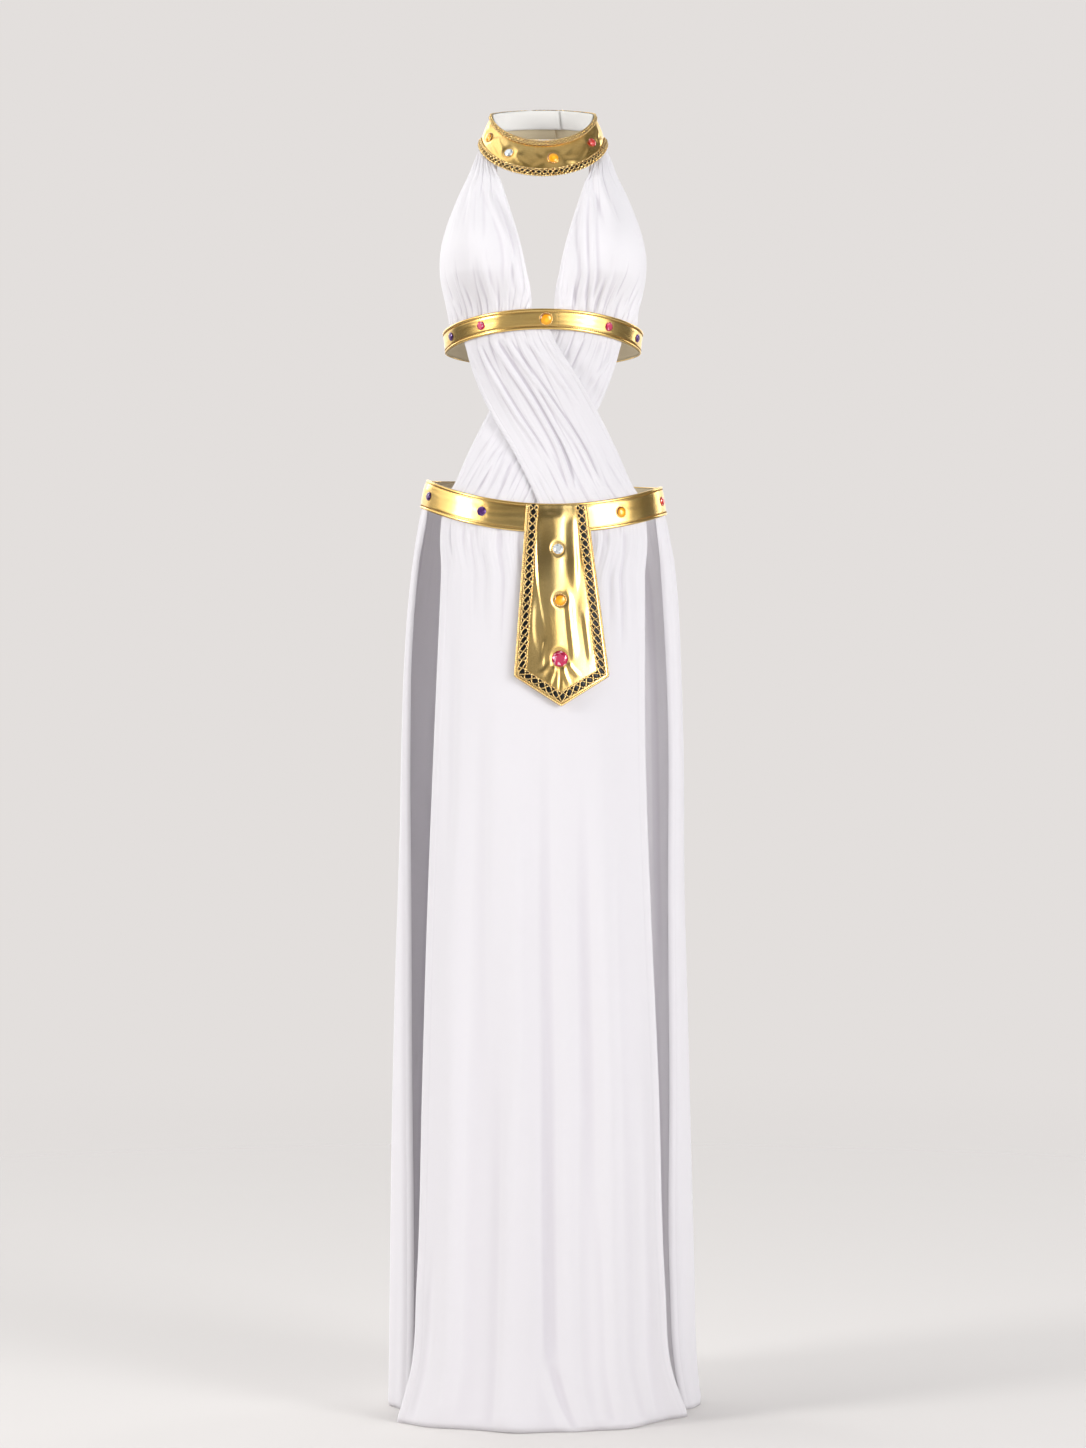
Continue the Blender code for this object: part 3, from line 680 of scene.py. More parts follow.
def makeFoil(name, part):
    # bright metal film: its tint drifts, and its grain darkens the pores and breaks the shine
    shader, tree = newMaterial(name)
    place = clothMap(tree)
    face = placeGroup(tree, "foilFace", {"Coordinate": place, "Stretch": part["stretch"],
                                         "Wave Size": part["wave"]})
    tint = addRamp(tree, face["Tint"], ((0.36, part["deep"]), (0.60, part["light"])))
    pores = addRamp(tree, face["Grain"], ((0.34, part["pore"]), (0.52, (1.0, 1.0, 1.0))))
    tree.links.new(addVector(tree, "MULTIPLY", tint, pores), shader.inputs["Base Color"])
    dull, shiny = part["roughness"] * 1.30, part["roughness"] * 0.85
    worn = addRange(tree, face["Grain"], 0.30, 0.70, dull, shiny, "LINEAR")
    tree.links.new(worn, shader.inputs["Roughness"])
    setInputs(shader, {"Metallic": 1.0})
    bumpInto(tree, shader, face["Height"], part["bump"], millimetre)


def makeCordMaterial(name, light, dark, lay, roughness):
    # metal-wrapped cord: bright strands with painted shade in the hollows between them
    shader, tree = newMaterial(name)
    place = clothMap(tree)
    twist = placeGroup(tree, "cordTwist", {"Coordinate": place, "Lay": lay})
    # painted shade: the colour darkens where the strands dip
    tree.links.new(addRamp(tree, twist["Height"], ((0.1, dark), (0.6, light))), shader.inputs["Base Color"])
    setInputs(shader, {"Metallic": 1.0, "Roughness": roughness})
    bumpInto(tree, shader, twist["Height"], 0.8, 0.0003)


def makeRibbon():
    # glossy black film with a fine rib
    shader, tree = newMaterial("blackRibbon")
    place = clothMap(tree)
    knit = placeGroup(tree, "knitFace", {"Coordinate": place, "Gap": 0.0006, "Unevenness": 0.5})
    colour = addRamp(tree, knit["Shade"], ((0.2, (0.003, 0.003, 0.003)), (0.9, (0.012, 0.011, 0.010))))
    tree.links.new(colour, shader.inputs["Base Color"])
    setInputs(shader, {"Roughness": 0.30, "Specular IOR Level": 0.30})
    bumpInto(tree, shader, knit["Height"], 0.15, 0.0001)


def makeGem(name, colour, deep, paintedHighlight):
    # foil-backed cut acrylic: each facet has its own tone, from the random value in its facet map, running
    # from painted shade on deep facets to painted glints on bright ones
    shader, tree = newMaterial(name)
    facet = addNode(tree, "ShaderNodeUVMap", uv_map="facet").outputs["UV"]
    stops = ((0.10, deep), (0.50, colour), (0.74, colour), (0.88, paintedHighlight))
    tree.links.new(addRamp(tree, splitUp(tree, facet)["X"], stops), shader.inputs["Base Color"])
    setInputs(shader, {"Metallic": 0.35, "Roughness": 0.09, "Coat Weight": 1.0,
                       "Coat Roughness": 0.03, "Coat IOR": 1.5})


def makeDome(name, colour, deep, paintedHighlight):
    # a domed acrylic stone over foil: painted light in its middle, set off to one side, and painted shade at
    # its rim, under a hard gloss
    shader, tree = newMaterial(name)
    fromPaintedHighlight = addLength(tree, addVector(tree, "ADD", clothMap(tree), (0.10, 0.22, 0)))
    stops = ((0.15, paintedHighlight), (0.50, colour), (0.86, colour), (1.0, deep))
    tree.links.new(addRamp(tree, fromPaintedHighlight, stops), shader.inputs["Base Color"])
    setInputs(shader, {"Metallic": 0.10, "Roughness": 0.25, "Coat Weight": 1.0,
                       "Coat Roughness": 0.02, "Coat IOR": 1.5})


gemColours = {
    # main colour, the painted shade of its deep facets and the painted glints of its bright ones (for the
    # amber dome, painted shade at its rim and painted light in its middle)
    "amber": ((1.0, 0.42, 0.003), (0.30, 0.08, 0.002), (1.0, 0.62, 0.015)),
    "clear": ((0.80, 0.86, 0.90), (0.22, 0.27, 0.31), (1.0, 1.0, 1.0)),
    "pink": ((0.72, 0.006, 0.10), (0.36, 0.002, 0.04), (1.0, 0.60, 0.72)),
    "purple": ((0.075, 0.008, 0.16), (0.02, 0.002, 0.05), (0.30, 0.11, 0.42)),
    "red": ((0.85, 0.04, 0.03), (0.42, 0.005, 0.008), (1.0, 0.36, 0.30)),
}
jersey = {"light": (0.805, 0.782, 0.812), "dark": (0.780, 0.757, 0.788), "gap": 0.0007,
          "uneven": 0.2, "sheen": 0.15, "knit": 0.025, "through": 0.12}
cordFinish = {
    # bright strands, the painted shade in the hollows between them, the lay of the twist in metres and the
    # roughness
    "goldCord": ((1.0, 0.74, 0.34), (0.42, 0.24, 0.07), 0.0022, 0.26),
    "goldThread": ((0.44, 0.24, 0.06), (0.10, 0.05, 0.012), 0.0008, 0.45),
}
clothFinish = {
    # creases: gap, length of the panel, reach from its ends, share elsewhere, depth in mm
    # the painted fold shade: what the colour is multiplied by where a fold is hollow
    # the halters' jersey is the same cloth as the others with lighter colours: painted light that brightens
    # the halters
    "whiteJersey": {**jersey, "light": (0.850, 0.828, 0.856), "dark": (0.825, 0.803, 0.832),
                    "fold": (0.82, 0.80, 0.83), "creases": (0.0032, 0.27, 0.075, 0.05, 0.7)},
    "wrapJersey": {**jersey, "fold": (0.80, 0.78, 0.81), "creases": (0.0034, 0.24, 0.080, 0.20, 0.5)},
    "skirtJersey": {**jersey, "fold": (0.91, 0.90, 0.915), "creases": (0.0050, 9.0, 0.12, 0.0, 0.8)},
    "collarBacking": {"light": (0.86, 0.85, 0.82), "dark": (0.74, 0.73, 0.70), "gap": 0.0011, "uneven": 1.0,
                      "sheen": 0.20, "knit": 0.11, "through": 0.0},
    "foilReverse": {"light": (0.66, 0.56, 0.38), "dark": (0.52, 0.43, 0.28), "gap": 0.0009, "uneven": 0.6,
                    "sheen": 0.10, "knit": 0.10, "through": 0.0},
}
foilFinish = {
    "goldFoil": {"light": (1.0, 0.71, 0.27), "deep": (0.95, 0.62, 0.20), "pore": (0.76, 0.70, 0.60),
                 "roughness": 0.22, "wave": 0.017, "stretch": (0.35, 1, 1), "bump": 0.40},
    "tabFoil": {"light": (1.0, 0.73, 0.31), "deep": (0.94, 0.64, 0.23), "pore": (0.72, 0.66, 0.56),
                "roughness": 0.20, "wave": 0.016, "stretch": (1, 0.35, 1), "bump": 0.50},
}


def makeMaterials():
    makeKnitGroup()
    makeCreaseGroup()
    makeFoilGroup()
    makeTwistGroup()
    for name, part in clothFinish.items():
        makeCloth(name, part)
    for name, part in foilFinish.items():
        makeFoil(name, part)
    for name, finish in cordFinish.items():
        makeCordMaterial(name, *finish)
    makeRibbon()
    for name, colours in gemColours.items():
        make = makeDome if name == "amber" else makeGem
        make(name + "Gem", *colours)
    print("materials made")


makeMaterials()
makeCamera()
makeStudio()
makeFloor()
print("camera, floor and light made")


# Cloth panels

def clothPiece(name, node, base, depth, size, finish="whiteJersey", dense=0.6):
    # a thin shell: base point + outward normal * depth, on a grid of across and down
    across, down = np.meshgrid(edgeDense(size["columns"], dense), edgeDense(size["rows"], 0.3))
    acrossSize, downSize = spans(base, across, down)
    raised = depth(across, down, acrossSize, downSize)
    places = movedOut(base, across, down, raised)
    uv = np.stack([across * size["flat"][0], down * size["flat"][1]], axis=-1)
    made = addNet(name, places, uv)
    # how hollow each place is, kept for the painted shade that darkens the cloth's fold valleys
    shade = made.data.attributes.new("hollow", "FLOAT", "POINT")
    shade.data.foreach_set("value", hollowsForPaintedShade(raised).astype(np.float32).ravel())
    addWall(made, clothWall)
    finishPiece(made, finish, [node])


halter = {
    "size": {"columns": 196, "rows": 112, "flat": (0.20, 0.27), "area": 0.042, "held": "gathered"},
    "shape": table(
        "down innerHeight outerHeight innerSide innerFront outerSide outerFront cup",
        (0.00, 1.449, 1.480, 0.0540, 0.047, 0.0735, -0.005, 0.004),
        (0.15, 1.426, 1.448, 0.0470, 0.064, 0.0825, 0.004, 0.006),
        (0.30, 1.400, 1.413, 0.0390, 0.080, 0.0985, 0.010, 0.012),
        (0.62, 1.343, 1.343, 0.0225, 0.101, 0.1195, 0.014, 0.033),
        (0.82, 1.304, 1.299, 0.0155, 0.104, 0.1165, 0.020, 0.021),
        (1.00, 1.268, 1.255, 0.0125, 0.101, 0.1070, 0.036, 0.003),
    ),
    "collarAngles": (48, 102),
    "bandAngles": (6.5, 72),
    "underFoil": 0.0026,
    "underCollar": (0.76, 4.6),  # down the collar at the panel's top, and how fast that grows
    "underBand": (0.42, 9.5),  # down the band at the panel's foot, and how fast that shrinks above it
    "leavesCollar": (0.02, 0.17),
    "joinsBand": (0.74, 0.965),
    "pleatedLength": 0.72 * 0.27,  # along which the gathers fade: 0.72 of the flat length
    "footSeam": 0.955,
    "seedShift": 0.01,  # moves the gathers across, so that the two panels differ
    # count, reach as a share, width and depth in mm, fan, and whether they rise from the foot
    "gathers": ((9, 0.34, 2.2, 1.3, -0.10, False), (12, 0.24, 1.8, 1.3, 0.22, True),
                (7, 0.62, 6.5, 0.9, 0.05, False)),
    "limit": table("down depth", (0, 0.0006), (0.06, 0.0007), (0.11, 0.003), (0.30, 0.006), (0.80, 0.007),
                   (0.915, 0.0045), (0.945, 0.0024), (0.962, 0.0008), (1, 0.0007)),
    # seed, count, depth in mm, reach in metres, fan
    "fromCollar": ((31, 10, 2.8, 0.120, 0.25), (32, 21, 1.3, 0.050, 0.2)),
    "fromBand": ((33, 12, 3.0, 0.080, 0.25), (34, 24, 2.2, 0.044, 0.15)),
    "neckHem": {"width": 0.007, "rise": 0.0005, "groove": 0.0003, "curl": 0.0042, "reach": 0.0065},
    "sideHem": {"width": 0.007, "rise": 0.0004, "groove": 0.0003, "curl": 0.0016, "reach": 0.0035},
    # x and height of a crease's top, middle and end, width, depth: mm; lean, head and tail: shares
    "left": (
        (-66, 1425, -50, 1370, -44, 1272, 4.6, 2.6, 0.2, 0.25, 0.30),
        (-57, 1425, -41, 1372, -36, 1300, 3.6, -1.7, 0.0, 0.25, 0.40),
        (-76, 1432, -83, 1382, -84, 1332, 5.4, 1.9, -0.2, 0.20, 0.60),
        (-69, 1432, -68, 1385, -70, 1330, 4.2, -1.5, 0.0, 0.20, 0.60),
        (-84, 1432, -100, 1378, -107, 1330, 5.8, 1.6, 0.2, 0.20, 0.60),
        (-46, 1372, -33, 1322, -26, 1270, 4.0, 2.3, 0.2, 0.35, 0.15),
        (-69, 1345, -62, 1298, -59, 1262, 4.4, 3.0, -0.2, 0.60, 0.05),
        (-78, 1314, -70, 1290, -64, 1262, 3.2, 2.0, 0.1, 0.60, 0.05),
        (-101, 1316, -89, 1290, -78, 1260, 3.8, 2.4, -0.1, 0.60, 0.05),
        (-88, 1302, -82, 1288, -76, 1262, 2.4, 1.5, 0.1, 0.50, 0.05),
        (-115, 1310, -102, 1284, -89, 1256, 3.6, 2.2, 0.2, 0.60, 0.05),
        (-60, 1303, -55, 1286, -52, 1264, 2.6, 1.6, 0.0, 0.60, 0.05),
        (-33, 1300, -30, 1285, -23, 1264, 2.6, 1.4, -0.2, 0.60, 0.05),
    ),
    "right": (
        (64, 1444, 70, 1408, 90, 1356, 4.8, 2.4, -0.2, 0.15, 0.55),
        (58, 1440, 60, 1408, 72, 1352, 4.0, -1.6, 0.0, 0.15, 0.55),
        (50, 1422, 46, 1345, 45, 1266, 3.6, 2.8, 0.1, 0.15, 0.06),
        (58, 1420, 56, 1345, 54, 1266, 3.8, 2.5, -0.1, 0.20, 0.06),
        (41, 1400, 38, 1335, 36, 1268, 3.0, -1.6, 0.0, 0.30, 0.15),
        (39, 1348, 38, 1320, 36, 1290, 3.0, 1.4, 0.1, 0.40, 0.40),
        (76, 1332, 71, 1300, 61, 1262, 3.8, 2.4, 0.2, 0.55, 0.05),
        (45, 1310, 42, 1290, 37, 1264, 2.6, 1.8, 0.0, 0.50, 0.05),
        (87, 1300, 81, 1284, 75, 1260, 3.0, 1.9, 0.1, 0.50, 0.05),
        (113, 1312, 100, 1287, 83, 1258, 3.8, 2.5, -0.2, 0.55, 0.05),
        (122, 1302, 107, 1280, 90, 1254, 3.4, 2.1, 0.1, 0.55, 0.05),
        (100, 1378, 110, 1362, 117, 1346, 4.5, 1.0, 0.0, 0.40, 0.50),
        (32, 1300, 28, 1286, 24, 1266, 2.4, 1.3, 0.1, 0.50, 0.05),
    ),
}


def halterBase(across, down):
    # x = inner + (outer - inner) sin t and front = outer + (inner - outer) cos t + cup sin 2t, with
    # t = 90 degrees times across; its top follows the collar's underside and its foot the bust band
    row = {name: smooth(halter["shape"], name, "down", down) for name in halter["shape"]}
    turn = across * math.pi / 2
    side = row["innerSide"] + (row["outerSide"] - row["innerSide"]) * np.sin(turn)
    front = row["outerFront"] + (row["innerFront"] - row["outerFront"]) * np.cos(turn)
    front = front + row["cup"] * np.sin(2 * turn)
    height = row["innerHeight"] + (row["outerHeight"] - row["innerHeight"]) * across
    free = points(side, -front, height)
    start, growth = halter["underCollar"]
    atCollar = movedOut(collarSurface, between(halter["collarAngles"], across), start + growth * down,
                        np.full(np.shape(across), -halter["underFoil"]))
    foot, shrink = halter["underBand"]
    onBand = bandSurface(bustBand, clothOut)
    atBand = onBand(between(halter["bandAngles"], across), foot - shrink * (1 - down))
    upper = mix(free, atCollar, 1 - ease(down, *halter["leavesCollar"]))
    return mix(upper, atBand, ease(down, *halter["joinsBand"]))


def makeHalter(side):
    # the left panel is the right one seen in a mirror, with its own creases
    if side == "right":
        base, neckAt, seed = halterBase, 0, 31
    else:
        base, neckAt, seed = (lambda across, down: halterBase(1 - across, down) * (-1, 1, 1)), 1, 47
    folds = placedFolds(base, halter[side])
    for number, row in enumerate(halter["gathers"]):
        folds += seamGathers(seed + number, *row)

    def depth(across, down, acrossSize, downSize):
        raised = foldSum(across, down, acrossSize, downSize, folds)
        shifted, long = across + halter["seedShift"] * seed, halter["pleatedLength"]
        raised = raised + gathered(shifted, down * long, halter["fromCollar"])
        raised = raised + gathered(shifted, (halter["footSeam"] - down) * long, halter["fromBand"])
        fromNeck = np.abs(across - neckAt) * acrossSize.mean(axis=1, keepdims=True)
        fromSide = np.abs(across - 1 + neckAt) * acrossSize.mean(axis=1, keepdims=True)
        raised = raised + turnedEdge(fromNeck, halter["neckHem"]) + turnedEdge(fromSide, halter["sideHem"])
        return softLimit(raised, np.interp(down, *halter["limit"].values()))
    clothPiece("halter" + side.capitalize(), "halter_" + side, base, depth, halter["size"])


wrap = {
    "size": {"columns": 186, "rows": 100, "flat": (0.17, 0.24), "area": 0.035, "held": "gathered"},
    "shape": table(
        "down left leftHeight right rightHeight",
        (0.00, -0.0925, 1.252, 0.004, 1.2605),
        (0.12, -0.0895, 1.232, 0.015, 1.2350),
        (0.30, -0.0770, 1.192, 0.040, 1.1980),
        (0.50, -0.0585, 1.153, 0.064, 1.1570),
        (0.70, -0.0340, 1.112, 0.0865, 1.114),
        (0.88, -0.0130, 1.070, 0.104, 1.0740),
        (1.00, -0.0010, 1.041, 0.116, 1.0570),
    ),
    "tuck": 0.0044,
    "tuckStart": 0.026,
    "tuckEnd": 0.004,
    "limit": table("down depth", (0, 0.0006), (0.085, 0.0006), (0.13, 0.0020), (0.22, 0.0034), (0.76, 0.0034),
                   (0.86, 0.0018), (0.905, 0.0006), (1, 0.0006)),
    "coveredLimit": 0.0007,
    "fromBand": ((63, 7, 2.6, 0.34, 0.0), (64, 17, 1.5, 0.075, 0.1)),
    "fromBelt": ((65, 8, 2.2, 0.24, 0.0), (66, 19, 1.6, 0.065, 0.1)),
    "gathers": ((8, 0.50, 1.8, 1.0, 0.05, False), (8, 0.50, 1.8, 1.0, -0.06, True)),
    "hem": {"width": 0.006, "rise": 0.0006, "groove": 0.0003, "curl": 0.0020, "reach": 0.0030},
    "over": (
        (-76, 1238, -43, 1174, 10, 1088, 3.0, 1.9, 0.2, 0.10, 0.25),
        (-71, 1238, -38, 1175, 14, 1090, 2.2, -1.3, 0.0, 0.12, 0.25),
        (-61, 1243, -12, 1166, 33, 1062, 3.4, 2.8, 0.3, 0.08, 0.12),
        (-54, 1243, -6, 1168, 38, 1064, 2.6, -1.9, 0.0, 0.08, 0.15),
        (-46, 1245, 6, 1170, 62, 1074, 3.2, 2.1, 0.2, 0.08, 0.15),
        (-40, 1245, 12, 1171, 66, 1080, 2.4, -1.3, 0.0, 0.10, 0.20),
        (-25, 1248, 22, 1190, 72, 1104, 3.4, 1.4, 0.1, 0.10, 0.40),
        (-4, 1248, 40, 1193, 84, 1108, 3.0, 1.2, -0.2, 0.10, 0.40),
        (-86, 1236, -80, 1220, -72, 1204, 2.4, 1.3, 0.1, 0.10, 0.60),
        (-15, 1100, -2, 1080, 8, 1058, 2.6, 1.4, 0.0, 0.50, 0.05),
        (40, 1115, 55, 1092, 70, 1070, 2.4, 1.3, 0.1, 0.50, 0.08),
        (70, 1110, 82, 1092, 94, 1074, 2.4, 1.2, 0.1, 0.50, 0.08),
    ),
    "under": (
        (46, 1243, 37, 1226, 28, 1208, 2.8, 1.6, -0.1, 0.10, 0.30),
        (60, 1243, 52, 1218, 41, 1190, 3.0, 1.9, -0.2, 0.10, 0.30),
        (69, 1241, 65, 1228, 60, 1216, 2.4, 1.3, 0.0, 0.10, 0.60),
        (86, 1237, 70, 1210, 50, 1180, 3.0, 1.7, -0.2, 0.10, 0.30),
        (-50, 1137, -72, 1104, -95, 1068, 3.0, 1.7, -0.1, 0.30, 0.10),
        (-42, 1122, -62, 1094, -82, 1064, 3.2, 2.4, -0.2, 0.20, 0.08),
        (-35, 1110, -46, 1088, -58, 1062, 2.6, 1.8, 0.0, 0.20, 0.08),
        (-29, 1102, -38, 1080, -47, 1056, 3.0, 2.3, -0.2, 0.15, 0.08),
        (-20, 1086, -25, 1072, -31, 1056, 2.2, 1.5, 0.0, 0.20, 0.08),
    ),
}


def wrapPlace(across, down):
    left, right, leftHeight, rightHeight = (
        smooth(wrap["shape"], name, "down", down) for name in ("left", "right", "leftHeight", "rightHeight")
    )
    return left + (right - left) * across, leftHeight + (rightHeight - leftHeight) * across


def wrapOverBase(across, down):
    return frontPoint(*wrapPlace(across, down), clothOut)


def wrapCovered(x, height):
    # 1 where the top wrap lies over this place, 0 where it is clear, soft between
    left, right = (smooth(wrap["shape"], name, name + "Height", height) for name in ("left", "right"))
    pastLeft = ease(-x, left - wrap["tuckStart"], left - wrap["tuckEnd"])
    return pastLeft * ease(x, -right - wrap["tuckStart"], -right - wrap["tuckEnd"])


def wrapUnderBase(across, down):
    # the top wrap in a mirror, sunk by the tuck where it is covered
    x, height = wrapPlace(1 - across, down)
    return frontPoint(-x, height, clothOut - wrap["tuck"] * wrapCovered(x, height))


def makeWrap(layer):
    base, seed = (wrapOverBase, 62) if layer == "over" else (wrapUnderBase, 77)
    folds = placedFolds(base, wrap[layer])
    for number, row in enumerate(wrap["gathers"]):
        folds += seamGathers(seed + number, *row)

    def depth(across, down, acrossSize, downSize):
        raised = foldSum(across, down, acrossSize, downSize, folds)
        long = wrap["size"]["flat"][1]
        drawn = across + 0.012 * np.sin(down * 4.0 + seed)
        raised = raised + gathered(drawn, down * long, wrap["fromBand"])
        raised = raised + gathered(drawn, (1 - down) * long, wrap["fromBelt"])
        edge = np.minimum(across, 1 - across) * acrossSize.mean(axis=1, keepdims=True)
        raised = raised + turnedEdge(edge, wrap["hem"])
        limit = np.interp(down, *wrap["limit"].values())
        if layer == "under":
            covered = wrapCovered(*wrapPlace(1 - across, down))
            limit = np.minimum(limit, limit + (wrap["coveredLimit"] - limit) * covered)
        return softLimit(raised, limit)
    clothPiece("wrap" + layer.capitalize(), "wrap_" + layer, base, depth, wrap["size"], "wrapJersey")


belt = {
    "top": (1.0510, 1.0815, 1.0900, -0.004),  # height in front, at the sides, behind, and the rise at +X
    "bottom": (1.0185, 1.0485, 1.0570, -0.004),
    "curve": 1.8,
    "columns": 620,
    "rows": 27,
    "flat": (0.86, 0.0345),
    "backRadius": 0.0913,
    "seed": 5,
    "streaks": 22,
    "ripple": 0.00030,
    "rippleSize": 0.034,
    "stones": ((-69, 0.5, 0.0052, "purple"), (-29, 0.5, 0.0056, "purple"),
               (38, 0.5, 0.0062, "amber"), (76, 0.5, 0.0054, "red")),
}
bustBand = {
    "top": (1.2730, 1.2570, 1.2500, 0.0),
    "bottom": (1.2505, 1.2325, 1.2260, 0.0),
    "curve": 1.6,
    "columns": 520,
    "rows": 25,
    "flat": (0.72, 0.0240),
    "backRadius": 0.0913,
    "seed": 11,
    "streaks": 16,
    "ripple": 0.00026,
    "rippleSize": 0.030,
    "stones": ((-66.7, 0.5, 0.0050, "purple"), (-37.5, 0.5, 0.0052, "pink"), (1.7, 0.5, 0.0070, "amber"),
               (40.4, 0.5, 0.0052, "pink"), (71.0, 0.5, 0.0050, "purple")),
}

collar = {
    "top": (1.4725, 1.5125, 1.5270, 0.0),
    "bottom": (1.4300, 1.4785, 1.4960, 0.0),
    "curve": 1.1,
    "topSpan": (0.0595, 0.050, 0.056),  # half width, front and back depth of the neck opening
    "bottomSpan": (0.0735, 0.072, 0.066),
    "backRadius": 0.061,
    "columns": 380,
    "rows": 26,
    "flat": (0.46, 0.048),
    "stones": ((-70, 0.48, 0.0055, "amber"), (-36, 0.52, 0.0053, "clear"),
               (10, 0.50, 0.0064, "amber"), (59, 0.48, 0.0053, "red")),
    "backing": {"down": (-0.02, 0.66), "out": -0.0013, "wall": 0.0006, "flat": (0.43, 0.030),
                "columns": 200, "rows": 9},
    "ripples": ((3, 0.00060, 0.036), (4, 0.00012, 0.014)),  # seed, height and usual gap
    "swell": (0.0010, 0.12, 0.73),  # height, where it starts down the collar, and how far it reaches
    "flatEdge": (0.0045, 0.0095),
    "limit": 0.0014,
    "stoneReach": 2.2,
    "rayWidth": 1.35,
    "rayDepth": 0.8,
    # from a stone's angle, each crease runs to its own angle: start, end, down there, width, depth
    "rays": (
        (-66, -48, 0.20, 2.4, 1.0), (-64, -44, 0.78, 2.6, 1.2), (-74, -92, 0.25, 2.4, 0.9),
        (-75, -95, 0.80, 2.6, 1.0), (-32, -16, 0.20, 2.2, 0.9), (-31, -10, 0.72, 2.8, 1.3),
        (-40, -54, 0.30, 2.0, 0.8), (6, -10, 0.22, 2.4, 1.1), (5, -12, 0.80, 2.6, 1.2),
        (14, 34, 0.24, 2.6, 1.2), (15, 38, 0.70, 2.8, 1.3), (55, 42, 0.22, 2.2, 0.9),
        (54, 38, 0.80, 2.4, 1.0), (63, 82, 0.26, 2.4, 1.0), (64, 86, 0.76, 2.6, 1.1),
        (100, 122, 0.35, 2.8, 0.9), (126, 150, 0.66, 3.0, 0.9), (-102, -126, 0.62, 2.8, 0.9),
        (-130, -154, 0.34, 3.0, 0.9),
    ),
}


def collarSurface(angle, down):
    # a cone round the neck: x = w sin a, y = -d cos a, with w and d growing evenly downward
    halfWidth, front, back = (
        first + (last - first) * down for first, last in zip(collar["topSpan"], collar["bottomSpan"])
    )
    depth = np.where(np.cos(angle) > 0, front, back)
    return points(halfWidth * np.sin(angle), -depth * np.cos(angle), ringHeight(collar, angle, down))


for side in ("left", "right"):
    makeHalter(side)
for layer in ("over", "under"):
    makeWrap(layer)
print("halter panels and wraps made")


# The skirt

